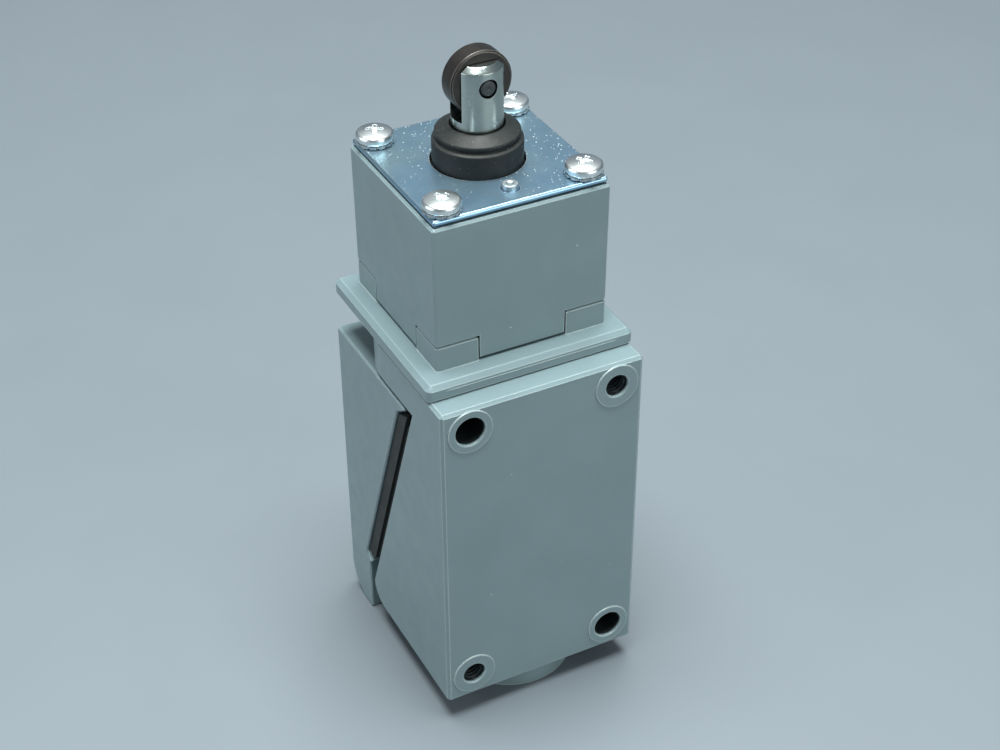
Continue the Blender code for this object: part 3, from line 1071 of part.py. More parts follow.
def make_terminal_block():
    """Moulded terminal block with four pockets, each with a socket clip and a screw terminal."""
    half = CAVITY_X - GAP
    piece = make_piece("terminal_block", block(
        (-half, TERMINAL_FRONT_Y, TERMINAL_BLOCK_BOTTOM), (half, TERMINAL_REAR_Y, TERMINAL_BLOCK_TOP)),
        MOULDING)
    floor = TERMINAL_REAR_Y - TERMINAL_FLOOR
    inner = CONTACT_X - STAB_WIDTH / 2 - GAP
    outer = half - TERMINAL_WALL
    cuts = []
    for x, z in STABS:
        side = math.copysign(1.0, x)
        xs = sorted((side * inner, side * outer))
        middle = z + STAB_THICKNESS / 2
        cuts.append(block((xs[0], TERMINAL_FRONT_Y - OVER, middle - TERMINAL_POCKET_HALF),
                          (xs[1], floor, middle + TERMINAL_POCKET_HALF)))
        cuts.append(rod(SMALL_SCREW_R + GAP, floor - OVER, floor + TERMINAL_SCREW_BITE + GAP,
                        (side * TERMINAL_X, 0, middle), "y", SMALL_STEPS))
    for z in TERMINAL_SCREW_HEIGHTS:
        cuts.append(rod(SMALL_SCREW_R + GAP, TERMINAL_FRONT_Y - OVER, TERMINAL_REAR_Y + OVER,
                        (0, 0, z), "y", SMALL_STEPS))
        cuts.append(rod(SMALL_SCREW_CAP_R + GAP, TERMINAL_FRONT_Y - OVER,
                        TERMINAL_FRONT_Y + SMALL_SCREW_CAP_H + GAP, (0, 0, z), "y", 20))
    boolean(piece, cuts)
    for index, (x, z) in enumerate(STABS):
        make_terminal(index + 1, math.copysign(1.0, x), z + STAB_THICKNESS / 2, floor)
    for number, z in enumerate(TERMINAL_SCREW_HEIGHTS, 1):
        seat = TERMINAL_FRONT_Y + SMALL_SCREW_CAP_H + GAP - SEAT_GAP
        pan_screw(f"terminal_block_screw_{number}", (0.0, 0.0, z), seat, SMALL_SCREW_CAP_R,
                  SMALL_SCREW_CAP_H, SMALL_SCREW_R, REAR_Y - REAR_SKIN - GAP, "y", ZINC_PLATE,
                  slot_cutter((0.0, 0.0, z), seat - SMALL_SCREW_CAP_H, SMALL_SLOT, SMALL_SCREW_CAP_R, "y"))


def make_terminal(number, side, z, floor):
    """One terminal: socket clip around the blade, screw and wire clamp."""
    rear = floor - GAP
    front = rear - CLIP_THICKNESS
    clip_x = sorted((side * (CONTACT_X - STAB_WIDTH / 2), side * (TERMINAL_X + CLAMP_HALF)))
    clip_half = TERMINAL_POCKET_HALF - GAP
    strap = block((clip_x[0], front, z - clip_half), (clip_x[1], rear, z + clip_half))
    clip = make_piece(f"socket_clip_{number}", strap, BRASS)
    leaf_x = sorted((side * (CONTACT_X - STAB_WIDTH / 2), side * (CONTACT_X + STAB_WIDTH / 2)))
    spring_gap = STAB_THICKNESS / 2 + GAP
    leaves = []
    for low in (spring_gap, -spring_gap - CLIP_THICKNESS):
        leaves.append(block((leaf_x[0], TERMINAL_FRONT_Y + CLIP_SETBACK, z + low),
                            (leaf_x[1], front + CLIP_THICKNESS / 2, z + low + CLIP_THICKNESS)))
    boolean(clip, leaves, "UNION")
    centre = (side * TERMINAL_X, 0.0, z)
    boolean(clip, [rod(SMALL_SCREW_R + GAP, front - GAP, rear + GAP, centre, "y", SMALL_STEPS)])
    clamp_rear = front - CLAMP_GAP
    clamp_x = side * TERMINAL_X
    clamp_shape = block((clamp_x - CLAMP_HALF + GAP, clamp_rear - CLAMP_THICKNESS, z - CLAMP_HALF),
                        (clamp_x + CLAMP_HALF, clamp_rear, z + CLAMP_HALF))
    clamp = make_piece(f"wire_clamp_{number}", round_edges(clamp_shape, CLAMP_EDGE), ZINC_PLATE)
    boolean(clamp, [rod(SMALL_SCREW_R + GAP, clamp_rear - CLAMP_THICKNESS - OVER,
                        clamp_rear + GAP, centre, "y",
                        SMALL_STEPS)])
    seat = clamp_rear - CLAMP_THICKNESS - SEAT_GAP
    cap_r = CLAMP_HALF - GAP
    pan_screw(f"terminal_screw_{number}", centre, seat, cap_r, SMALL_SCREW_CAP_H, SMALL_SCREW_R,
              floor + TERMINAL_SCREW_BITE, "y", ZINC_PLATE,
              slot_cutter(centre, seat - SMALL_SCREW_CAP_H, SMALL_SLOT, cap_r, "y"))


def make_ground_screw():
    """Green ground screw on top of the boss beside the conduit entry."""
    seat = SILL_Z + SEAT_GAP
    slot = slot_cutter(GROUND_SCREW, seat + SMALL_SCREW_CAP_H, SMALL_SLOT, SMALL_SCREW_CAP_R, "z")
    pan_screw("ground_screw", GROUND_SCREW, seat, SMALL_SCREW_CAP_R, SMALL_SCREW_CAP_H, SMALL_SCREW_R,
              SILL_Z - GROUND_SCREW_DEPTH, "z", GREEN_SCREW, slot)


def main():
    """Build every piece."""
    clear_scene()
    make_receptacle()
    make_switch_body()
    make_gasket()
    make_nameplate()
    make_body_screws()
    make_head()
    make_cover_plate()
    make_head_hardware()
    make_boot()
    make_bushing()
    make_plunger_group()
    make_springs()
    make_seals()
    make_contact_block()
    make_carrier_group()
    make_stationary_contacts()
    make_terminal_block()
    make_ground_screw()


main()
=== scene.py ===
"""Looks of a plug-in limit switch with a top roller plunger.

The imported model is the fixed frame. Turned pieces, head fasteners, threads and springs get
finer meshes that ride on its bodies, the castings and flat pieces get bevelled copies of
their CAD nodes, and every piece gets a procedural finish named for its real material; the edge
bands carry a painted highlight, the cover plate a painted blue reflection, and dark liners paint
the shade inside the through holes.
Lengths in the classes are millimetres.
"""
import logging
import math
from dataclasses import dataclass, field
from enum import Enum
from typing import Any

import bmesh
import bpy
import numpy as np
from mathutils import Matrix, Vector


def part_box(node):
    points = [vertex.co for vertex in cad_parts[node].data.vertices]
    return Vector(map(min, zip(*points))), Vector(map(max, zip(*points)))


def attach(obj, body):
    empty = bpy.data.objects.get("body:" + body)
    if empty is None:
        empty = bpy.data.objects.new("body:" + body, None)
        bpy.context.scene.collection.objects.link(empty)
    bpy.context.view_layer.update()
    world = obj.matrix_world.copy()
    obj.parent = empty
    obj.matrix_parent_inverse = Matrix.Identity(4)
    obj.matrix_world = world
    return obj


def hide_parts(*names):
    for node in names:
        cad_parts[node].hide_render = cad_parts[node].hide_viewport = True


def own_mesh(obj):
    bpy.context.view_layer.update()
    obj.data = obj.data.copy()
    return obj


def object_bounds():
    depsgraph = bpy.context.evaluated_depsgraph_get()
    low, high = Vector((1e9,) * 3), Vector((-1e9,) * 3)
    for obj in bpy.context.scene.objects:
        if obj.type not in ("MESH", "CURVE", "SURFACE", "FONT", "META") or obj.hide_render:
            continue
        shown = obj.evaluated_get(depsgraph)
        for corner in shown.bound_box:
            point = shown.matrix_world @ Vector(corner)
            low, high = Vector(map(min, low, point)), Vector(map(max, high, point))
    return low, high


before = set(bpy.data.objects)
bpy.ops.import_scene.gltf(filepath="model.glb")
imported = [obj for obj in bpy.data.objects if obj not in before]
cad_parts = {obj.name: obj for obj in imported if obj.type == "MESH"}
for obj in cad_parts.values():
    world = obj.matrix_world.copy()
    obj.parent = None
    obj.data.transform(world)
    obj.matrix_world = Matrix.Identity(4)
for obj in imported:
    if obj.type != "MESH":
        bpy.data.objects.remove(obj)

CAD_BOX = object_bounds()
MM = 0.001
log = logging.getLogger("limit_switch")

# points of a new surface, and of a copied CAD node, closer than these are one, metres
MERGE_DISTANCE = 2e-7
WELD_DISTANCE = 1e-6
# a CAD node's edges by how far they turn, degrees: flat, chamfer, and shaded sharp past this
FLAT_TURN = 0.6
CHAMFER_TURN = (30.0, 60.0)
SHARP_TURN = 38.0

# socket numbers of the colour Mix node and of Map Range
MIX_SHARE, MIX_FIRST, MIX_SECOND, MIX_RESULT = 0, 6, 7, 2
VALUE, FROM_LOW, FROM_HIGH, TO_LOW, TO_HIGH = range(5)

# patterns that all finishes share: noise bounds, cosines of the turn at an edge, millimetres
CLOUD_BOUNDS = (0.35, 0.65)
GLOSS_BOUNDS = (0.3, 0.7)
GLOSS_PATCH = 4.0
EDGE_BOUNDS = (0.995, 0.90)
SETTLED_GRAIN = 0.8
SETTLED_FULL = 0.6
SPECK_COVER = 0.75


def linear_rgba(code: str) -> tuple[float, float, float, float]:
    """Turn an sRGB hex colour into the linear colour that a shader takes.

    Args:
        code: six hex digits with a leading hash.

    Returns:
        Linear red, green and blue by the sRGB curve, and an alpha of one.
    """
    srgb = np.array([int(code[i:i + 2], 16) for i in (1, 3, 5)]) / 255.0
    linear = np.where(srgb <= 0.04045, srgb / 12.92, ((srgb + 0.055) / 1.055) ** 2.4)
    return (*(float(value) for value in linear), 1.0)


def per_mm(size: float) -> float:
    """Texture scale whose cells measure `size` millimetres."""
    return 1.0 / (size * MM)


# ---------------------------------------------------------------- finishes

def add_node(tree: bpy.types.NodeTree, kind: str, settings: dict[str, Any] | None = None,
             inputs: dict[Any, Any] | None = None) -> bpy.types.Node:
    """Add a node with its settings, its socket values and its links.

    Args:
        tree: the node tree.
        kind: the node's type.
        settings: node properties by name.
        inputs: by socket name or number, a value or a (node, output) pair to link.

    Returns:
        The new node.
    """
    node = tree.nodes.new(kind)
    for key, value in (settings or {}).items():
        setattr(node, key, value)
    for key, value in (inputs or {}).items():
        if isinstance(value, tuple) and isinstance(value[0], bpy.types.Node):
            tree.links.new(value[0].outputs[value[1]], node.inputs[key])
        else:
            node.inputs[key].default_value = value
    return node


class Graph:
    """The node tree of one material, ended by a Principled shader."""

    def __init__(self, name: str) -> None:
        """Make an empty material called `name` with its output node."""
        self.material = bpy.data.materials.new(name)
        self.material.use_nodes = True
        self.material.node_tree.nodes.clear()
        self.output = self.add("ShaderNodeOutputMaterial")

    def add(self, kind: str, settings: dict[str, Any] | None = None,
            inputs: dict[Any, Any] | None = None) -> bpy.types.Node:
        """Add a node to this material, as `add_node` does."""
        return add_node(self.material.node_tree, kind, settings, inputs)

    def close(self, shader: bpy.types.Node) -> bpy.types.Material:
        """Link the shader to the output and return the material."""
        self.material.node_tree.links.new(shader.outputs[0], self.output.inputs["Surface"])
        return self.material


@dataclass(frozen=True)
class Finish:
    """Common part of every finish: a base colour, its tones, dust, an edge band of wear and
    painted highlight, and relief.

    Attributes:
        name: real material and process.
        color: base colour as sRGB hex.
        tone: colour that large soft clouds drift towards.
        tone_size: size of those clouds, millimetres.
        roughness: mean roughness.
        metallic: one for bare metal, zero for paint, rubber and plastic.
        ior: index of refraction, used where metallic is zero.
        relief_size: grain of the surface relief, millimetres.
        relief_height: height of the relief, millimetres.
        stretch: scale of the relief along x, y and z; small draws it out.
        dust: share of the speck cells that hold a speck, zero to one.
        dust_size: distance between speck cells, millimetres.
        dust_color: colour of the specks as sRGB hex.
        dust_spread: largest speck radius as a share of that distance.
        edge_color: colour of the edge band, wear and a painted highlight, as sRGB hex.
        edge_wear_and_highlight: how far the edge colour shows, zero to one.
        edge_width: width of the edge band, millimetres.
        settled: how far dust greys the faces that look up, zero to one.
        settled_color: colour of that dust as sRGB hex.
        drift: how far the roughness wanders, as a share of itself.
    """

    name: str
    color: str
    tone: str
    tone_size: float = 9.0
    roughness: float = 0.4
    metallic: float = 0.0
    ior: float = 1.5
    relief_size: float = 0.6
    relief_height: float = 0.004
    stretch: tuple[float, float, float] = (1.0, 1.0, 1.0)
    dust: float = 0.25
    dust_size: float = 2.6
    dust_color: str = "#c4cbc9"
    dust_spread: float = 0.13
    edge_color: str = "#a9b8ba"
    edge_wear_and_highlight: float = 0.0
    edge_width: float = 0.35
    settled: float = 0.0
    settled_color: str = "#6d7672"
    drift: float = 0.15

    def build(self) -> bpy.types.Material:
        """Make the material from its colour layers, relief and gloss.

        Returns:
            The finished material.
        """
        graph = Graph(self.name)
        place = graph.add("ShaderNodeTexCoord")
        color = self.clouded(graph, place)
        edges_worn_and_highlit = self.wear_and_highlight_edges(graph, color)
        greyed = self.greyed(graph, place, edges_worn_and_highlit)
        specks = self.specks(graph, place)
        dusted = graph.add("ShaderNodeMix", {"data_type": "RGBA"}, {
            MIX_SHARE: (specks, 0), MIX_FIRST: (greyed, MIX_RESULT),
            MIX_SECOND: linear_rgba(self.dust_color)})
        shader = graph.add("ShaderNodeBsdfPrincipled", {}, {
            "Base Color": (dusted, MIX_RESULT), "Roughness": (self.gloss(graph, place), 0),
            "Normal": (self.relief(graph, place), 0)})
        if self.metallic > 0.0:
            metal = graph.add("ShaderNodeMath", {"operation": "MULTIPLY_ADD"}, {
                0: (specks, 0), 1: -self.metallic, 2: self.metallic})
            graph.material.node_tree.links.new(metal.outputs[0], shader.inputs["Metallic"])
        else:
            shader.inputs["IOR"].default_value = self.ior
        return graph.close(shader)

    def clouded(self, graph: Graph, place: bpy.types.Node) -> bpy.types.Node:
        """Soft clouds of colour, from the base colour towards the tone colour."""
        noise = graph.add("ShaderNodeTexNoise", {}, {
            "Vector": (place, "Object"), "Scale": per_mm(self.tone_size), "Detail": 3.0,
            "Roughness": 0.55})
        ramp = graph.add("ShaderNodeMapRange", {}, {
            VALUE: (noise, 0), FROM_LOW: CLOUD_BOUNDS[0], FROM_HIGH: CLOUD_BOUNDS[1],
            TO_LOW: 0.0, TO_HIGH: 1.0})
        return graph.add("ShaderNodeMix", {"data_type": "RGBA"}, {
            MIX_SHARE: (ramp, 0), MIX_FIRST: linear_rgba(self.color),
            MIX_SECOND: linear_rgba(self.tone)})

    def wear_and_highlight_edges(self, graph: Graph, color: bpy.types.Node) -> bpy.types.Node:
        """Lighter colour where a rounded normal leaves the true one, as on an edge: partly wear,
        partly a painted highlight along the edge.
        """
        if self.edge_wear_and_highlight <= 0.0:
            return color
        rounded = graph.add("ShaderNodeBevel", {"samples": 4}, {"Radius": self.edge_width * MM})
        flat = graph.add("ShaderNodeNewGeometry")
        along = graph.add("ShaderNodeVectorMath", {"operation": "DOT_PRODUCT"}, {
            0: (rounded, 0), 1: (flat, "Normal")})
        # edge mask: where the lighter edge colour, partly wear and partly painted highlight, shows
        edge = graph.add("ShaderNodeMapRange", {}, {
            VALUE: (along, "Value"), FROM_LOW: EDGE_BOUNDS[0], FROM_HIGH: EDGE_BOUNDS[1],
            TO_LOW: 0.0, TO_HIGH: self.edge_wear_and_highlight})
        return graph.add("ShaderNodeMix", {"data_type": "RGBA"}, {
            MIX_SHARE: (edge, 0), MIX_FIRST: (color, MIX_RESULT),
            MIX_SECOND: linear_rgba(self.edge_color)})

    def greyed(self, graph: Graph, place: bpy.types.Node, color: bpy.types.Node) -> bpy.types.Node:
        """Settled dust: greyer where the surface looks up, broken by fine noise."""
        if self.settled <= 0.0:
            return color
        flat = graph.add("ShaderNodeNewGeometry")
        parts = graph.add("ShaderNodeSeparateXYZ", {}, {0: (flat, "Normal")})
        noise = graph.add("ShaderNodeTexNoise", {}, {
            "Vector": (place, "Object"), "Scale": per_mm(SETTLED_GRAIN), "Detail": 4.0})
        both = graph.add("ShaderNodeMath", {"operation": "MULTIPLY"}, {
            0: (parts, 2), 1: (noise, 0)})
        mask = graph.add("ShaderNodeMapRange", {}, {
            VALUE: (both, 0), FROM_LOW: 0.0, FROM_HIGH: SETTLED_FULL,
            TO_LOW: 0.0, TO_HIGH: self.settled})
        return graph.add("ShaderNodeMix", {"data_type": "RGBA"}, {
            MIX_SHARE: (mask, 0), MIX_FIRST: (color, MIX_RESULT),
            MIX_SECOND: linear_rgba(self.settled_color)})

    def specks(self, graph: Graph, place: bpy.types.Node) -> bpy.types.Node:
        """Small dust specks round the points of a cell pattern, in some cells only."""
        cells = graph.add("ShaderNodeTexVoronoi", {"feature": "F1"}, {
            "Vector": (place, "Object"), "Scale": per_mm(self.dust_size)})
        tint = graph.add("ShaderNodeSeparateColor", {}, {0: (cells, "Color")})
        reach = graph.add("ShaderNodeMath", {"operation": "MULTIPLY"}, {
            0: (tint, 1), 1: self.dust_spread})
        near = graph.add("ShaderNodeMath", {"operation": "LESS_THAN"}, {
            0: (cells, "Distance"), 1: (reach, 0)})
        chosen = graph.add("ShaderNodeMath", {"operation": "LESS_THAN"}, {
            0: (tint, 0), 1: self.dust})
        both = graph.add("ShaderNodeMath", {"operation": "MULTIPLY"}, {
            0: (near, 0), 1: (chosen, 0)})
        return graph.add("ShaderNodeMath", {"operation": "MULTIPLY"}, {
            0: (both, 0), 1: SPECK_COVER})

    def gloss(self, graph: Graph, place: bpy.types.Node) -> bpy.types.Node:
        """Roughness that drifts a little, as handling leaves it."""
        noise = graph.add("ShaderNodeTexNoise", {}, {
            "Vector": (place, "Object"), "Scale": per_mm(GLOSS_PATCH), "Detail": 5.0})
        return graph.add("ShaderNodeMapRange", {}, {
            VALUE: (noise, 0), FROM_LOW: GLOSS_BOUNDS[0], FROM_HIGH: GLOSS_BOUNDS[1],
            TO_LOW: self.roughness * (1.0 - self.drift),
            TO_HIGH: self.roughness * (1.0 + self.drift)})

    def relief(self, graph: Graph, place: bpy.types.Node) -> bpy.types.Node:
        """Fine relief, drawn out along the directions that `stretch` makes small."""
        mapping = graph.add("ShaderNodeMapping", {}, {
            "Vector": (place, "Object"), "Scale": self.stretch})
        noise = graph.add("ShaderNodeTexNoise", {}, {
            "Vector": (mapping, 0), "Scale": per_mm(self.relief_size), "Detail": 2.0})
        return graph.add("ShaderNodeBump", {}, {
            "Strength": 1.0, "Distance": self.relief_height * MM, "Height": (noise, 0)})


class Look(Enum):
    """Every finish on the switch, named for its material and how its surface was made, and for the
    painted light that some of them carry.
    """

    # sprayed enamel on a zinc casting: smooth, half gloss, a light orange peel; its lighter edge
    # band is partly wear, partly a painted highlight
    ENAMEL = Finish("enamel_sprayed_on_zinc_casting", "#67797e", "#6a7d82", tone_size=14.0,
                    roughness=0.33, relief_size=0.9, relief_height=0.007, dust=0.14,
                    dust_size=2.2, dust_spread=0.09, dust_color="#c3cccb",
                    edge_color="#b9c5c4", edge_wear_and_highlight=0.8, edge_width=0.28)
    # zinc-plated sheet: dull mirror, cloudy, dusty; its blue colours are a painted reflection of
    # blue surroundings, its white edge band a painted highlight
    PLATE = Finish("zinc_plated_steel_sheet_painted_blue_reflection", "#78a6c9", "#94b4c3",
                   tone_size=20.0, roughness=0.36, metallic=1.0, relief_size=0.5,
                   relief_height=0.0008, stretch=(1.0, 0.12, 1.0), dust=0.85, dust_size=0.65,
                   dust_spread=0.2,
                   dust_color="#ccd6d8", edge_color="#f6faf8", edge_wear_and_highlight=0.9, edge_width=0.3,
                   settled=0.3, settled_color="#a8bac0", drift=0.03)
    # zinc-plated cold-headed screws: bright and shiny
    SCREW = Finish("zinc_plated_steel_cold_headed", "#e4e9ea", "#d8dfe1", tone_size=1.5,
                   roughness=0.30, metallic=1.0, relief_size=0.4, relief_height=0.002, dust=0.2,
                   dust_size=1.2, dust_spread=0.06, dust_color="#9aa4a8")
    # turned stainless steel: fine rings round the axis; its lighter edges are partly wear, partly
    # a painted highlight
    TURNED = Finish("stainless_steel_turned", "#a9b4b1", "#a2adab", tone_size=3.0, roughness=0.25,
                    metallic=1.0, relief_size=0.35, relief_height=0.0018,
                    stretch=(0.03, 0.03, 1.0), dust=0.1, dust_size=1.5, dust_spread=0.06,
                    edge_color="#eef3f2", edge_wear_and_highlight=0.5, edge_width=0.15)
    # hardened steel, chemically blackened: brown-black and matt, its bright edge band partly wear,
    # partly a painted highlight
    BLACKENED = Finish("steel_hardened_blackened", "#1c1918", "#24211f", tone_size=2.0,
                       roughness=0.4, metallic=0.35, relief_size=0.25, relief_height=0.003,
                       dust=0.7, dust_size=0.6, dust_spread=0.09, dust_color="#6b7072",
                       edge_color="#cfcabf", edge_wear_and_highlight=0.9, edge_width=0.16)
    # ground pin end, lightly oiled steel
    PIN = Finish("steel_ground_dull", "#3c4042", "#34383a", tone_size=1.0, roughness=0.42,
                 metallic=0.6, relief_size=0.2, relief_height=0.003, dust=0.2, dust_size=0.8,
                 dust_spread=0.08, dust_color="#7d8486")
    # moulded nitrile rubber: black, satin, grey with dust on top
    RUBBER = Finish("nitrile_rubber_moulded", "#0c0e0f", "#111415", tone_size=3.0, roughness=0.55,
                    ior=1.36, relief_size=0.3, relief_height=0.004, dust=0.7, dust_size=0.6,
                    dust_spread=0.14, dust_color="#767f7c", settled=0.14,
                    settled_color="#525a58")
    # moulded gasket rubber: warmer grey, matt
    GASKET = Finish("gasket_rubber_moulded", "#1b1f1e", "#212524", tone_size=2.0, roughness=0.6,
                    ior=1.4, relief_size=0.3, relief_height=0.006, dust=0.4, dust_size=0.9,
                    dust_spread=0.09, dust_color="#5f6664", settled=0.15)
    # drilled and tapped bores in the casting: bare zinc, its dark colour partly painted shade
    # inside the holes
    DRILLED = Finish("zinc_casting_drilled_painted_shade", "#3d4548", "#343b3e", tone_size=1.5,
                     roughness=0.42, metallic=0.7, relief_size=0.3, relief_height=0.006,
                     dust=0.2, dust_size=0.8, dust_spread=0.08, dust_color="#6b7477")
    # zinc plating gone dull, on washers and a ground pin end
    DULL_ZINC = Finish("zinc_plated_steel_dull", "#a9b4ba", "#98a4aa", tone_size=1.0,
                       roughness=0.45, metallic=1.0, relief_size=0.3, relief_height=0.003,
                       dust=0.3, dust_size=0.8, dust_spread=0.08, dust_color="#8b9599")
    # black phenolic moulding of the contact and terminal blocks
    MOULDED_BLACK = Finish("phenolic_moulded_black", "#1d1e20", "#26272a", roughness=0.42,
                           relief_size=0.5, relief_height=0.005)
    # white nylon moulding: satin, slightly warm
    MOULDED_WHITE = Finish("nylon_moulded_white", "#d8d5ca", "#cbc8bc", roughness=0.4,
                           relief_size=0.5, relief_height=0.004)
    # stamped brass: bright, drawn along its strip
    BRASS = Finish("brass_stamped", "#c9a35a", "#b8924c", tone_size=2.0, roughness=0.28,
                   metallic=1.0, relief_size=0.3, relief_height=0.002, stretch=(1.0, 0.1, 1.0))
    # contact tips of silver alloy: pale and shiny
    SILVER = Finish("silver_alloy_contact", "#d9d8d2", "#c9c8c2", tone_size=1.0, roughness=0.25,
                    metallic=1.0, relief_size=0.3, relief_height=0.002)
    # sintered bronze bushing: brown and grainy
    BRONZE = Finish("bronze_sintered", "#b08650", "#9a7444", tone_size=0.8, roughness=0.48,
                    metallic=1.0, relief_size=0.2, relief_height=0.012)
    # drawn spring wire: grey, half bright
    SPRING = Finish("spring_steel_drawn", "#8f9397", "#7d8185", tone_size=1.0, roughness=0.3,
                    metallic=1.0, relief_size=0.2, relief_height=0.003)
    # earth screw: green plating over steel
    GREEN = Finish("steel_screw_green_plated", "#3f7a4c", "#356a42", tone_size=1.0,
                   roughness=0.35, metallic=0.8, relief_size=0.3, relief_height=0.003)
    # brushed and clear anodised aluminium, blank
    ALUMINIUM = Finish("aluminium_brushed_anodised", "#c6cacc", "#c2c6c9", tone_size=6.0,
                       roughness=0.3, metallic=1.0, relief_size=0.35, relief_height=0.003,
                       stretch=(0.03, 1.0, 1.0), drift=0.04)

    def material(self) -> bpy.types.Material:
        """The material of this finish, made once and shared by all its pieces."""
        return bpy.data.materials.get(self.value.name) or self.value.build()


SLOT_LOOKS: dict[str, Look] = {
    "grey_enamel": Look.ENAMEL, "black_rubber": Look.RUBBER, "gasket_rubber": Look.GASKET,
    "zinc_plated_steel": Look.SCREW, "stainless_steel": Look.TURNED,
    "spring_steel": Look.SPRING, "oxided_steel": Look.BLACKENED,
    "sintered_bronze": Look.BRONZE, "brass": Look.BRASS, "silver_alloy": Look.SILVER,
    "black_moulding": Look.MOULDED_BLACK, "white_moulding": Look.MOULDED_WHITE,
    "green_plated_steel": Look.GREEN, "anodised_aluminium": Look.ALUMINIUM,
}


# ---------------------------------------------------------------- surfaces

@dataclass
class Surface:
    """Points and faces of one closed shape, in metres in the frame.

    Attributes:
        points: array of shape (count, 3).
        faces: array of shape (count, 4), corner numbers of each quad.
    """

    points: np.ndarray
    faces: np.ndarray

    @staticmethod
    def grid(points: np.ndarray, close_u: bool = False, close_v: bool = True) -> "Surface":
        """Join a grid of points into quads, each point to its next along u and v.

        Args:
            points: array of shape (rows, columns, 3); u counts rows, v counts columns.
            close_u: whether the last row joins the first.
            close_v: whether the last column joins the first.

        Returns:
            The surface of the grid.
        """
        rows, columns = points.shape[:2]
        index = np.arange(rows * columns).reshape(rows, columns)
        if close_u:
            index = np.vstack([index, index[:1]])
        if close_v:
            index = np.hstack([index, index[:, :1]])
        faces = np.stack([index[:-1, :-1], index[:-1, 1:], index[1:, 1:], index[1:, :-1]], -1)
        return Surface(points.reshape(-1, 3), faces.reshape(-1, 4))

    @staticmethod
    def turned(profile: np.ndarray, centre: Vector, axis: str = "z", steps: int = 96) -> "Surface":
        """Turn a profile of (radius, height) rows about an axis through `centre`.

        A point is centre + radius times (cos a, sin a) across the axis + height along it,
        with the angle a in equal steps.

        Args:
            profile: array of shape (rows, 2), metres.
            centre: a point of the axis.
            axis: "z" or "y".
            steps: number of columns round the axis.

        Returns:
            The turned surface.
        """
        angle = np.arange(steps) * math.tau / steps
        radius, height = profile[:, :1], profile[:, 1:]
        across = radius * np.cos(angle)
        beside = radius * np.sin(angle)
        along = np.broadcast_to(height, across.shape)
        order = (across, beside, along) if axis == "z" else (beside, along, across)
        return Surface.grid(np.stack(order, -1) + np.array(centre))

    def piece(self, name: str, crease: float = 35.0) -> bpy.types.Object:
        """Put the surface into a new object: doubles merged, normals out, smooth shading.

        Args:
            name: the piece's name.
            crease: degrees past which an edge stays sharp.

        Returns:
            The new object, at the origin.
        """
        mesh = bpy.data.meshes.new(name)
        mesh.from_pydata(self.points.tolist(), [], self.faces.tolist())
        shape = bmesh.new()
        shape.from_mesh(mesh)
        bmesh.ops.remove_doubles(shape, verts=shape.verts, dist=MERGE_DISTANCE)
        bmesh.ops.dissolve_degenerate(shape, edges=shape.edges, dist=MERGE_DISTANCE)
        bmesh.ops.recalc_face_normals(shape, faces=shape.faces)
        shape.to_mesh(mesh)
        shape.free()
        mesh.shade_smooth()
        mesh.set_sharp_from_angle(angle=math.radians(crease))
        item = bpy.data.objects.new(name, mesh)
        bpy.context.collection.objects.link(item)
        return item


def filleted(corners: list[tuple[float, float, float]], steps: int = 5) -> np.ndarray:
    """Round the corners of a profile with arcs.

    Each corner is cut back by fillet times the tangent of half its turn, and an arc of that
    fillet joins the cuts. The first and last corners stay as they are.

    Args:
        corners: (radius, height, fillet) of each corner, millimetres.
        steps: points along each arc.

    Returns:
        Array of shape (rows, 2), metres.
    """
    rows = [corners[0][:2]]
    for before, here, after in zip(corners, corners[1:], corners[2:]):
        point = np.array(here[:2])
        back = np.array(before[:2]) - point
        ahead = np.array(after[:2]) - point
        back /= np.linalg.norm(back)
        ahead /= np.linalg.norm(ahead)
        turn = math.pi - math.acos(float(np.clip(back @ ahead, -1.0, 1.0)))
        if here[2] <= 0.0 or turn < 1e-3:
            rows.append(tuple(point))
            continue
        cut = here[2] * math.tan(turn / 2)
        inward = (back + ahead) / np.linalg.norm(back + ahead)
        middle = point + inward * here[2] / math.cos(turn / 2)
        start = point + back * cut - middle
        first = math.atan2(start[1], start[0])
        end = point + ahead * cut - middle
        sweep = (math.atan2(end[1], end[0]) - first + math.pi) % math.tau - math.pi
        angles = first + sweep * np.linspace(0.0, 1.0, steps)
        rows += [tuple(middle + here[2] * np.array([math.cos(a), math.sin(a)])) for a in angles]
    rows.append(corners[-1][:2])
    return np.array(rows) * MM


def ringed(profile: np.ndarray, step: float) -> np.ndarray:
    """The same profile with points added, so that no run is longer than `step` millimetres."""
    rows = [profile[:1]]
    for first, second in zip(profile, profile[1:]):
        count = max(1, math.ceil(float(np.linalg.norm(second - first)) / (step * MM)))
        share = np.linspace(0.0, 1.0, count + 1)[1:, None]
        rows.append(first + (second - first) * share)
    return np.vstack(rows)


def smooth_step(value: np.ndarray, low: float, high: float) -> np.ndarray:
    """Zero below `low`, one above `high`, and the cubic 3t^2 - 2t^3 between them."""
    share = np.clip((value - low) / (high - low), 0.0, 1.0)
    return share * share * (3.0 - 2.0 * share)


def centre_of(node: str) -> Vector:
    """Middle of a CAD node's box."""
    low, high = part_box(node)
    return (low + high) / 2


def evaluated(item: bpy.types.Object) -> bpy.types.Object:
    """Put an object's modifiers into its mesh for good, and return it."""
    graph = bpy.context.evaluated_depsgraph_get()
    graph.update()
    mesh = bpy.data.meshes.new_from_object(item.evaluated_get(graph))
    item.modifiers.clear()
    item.data = mesh
    return item


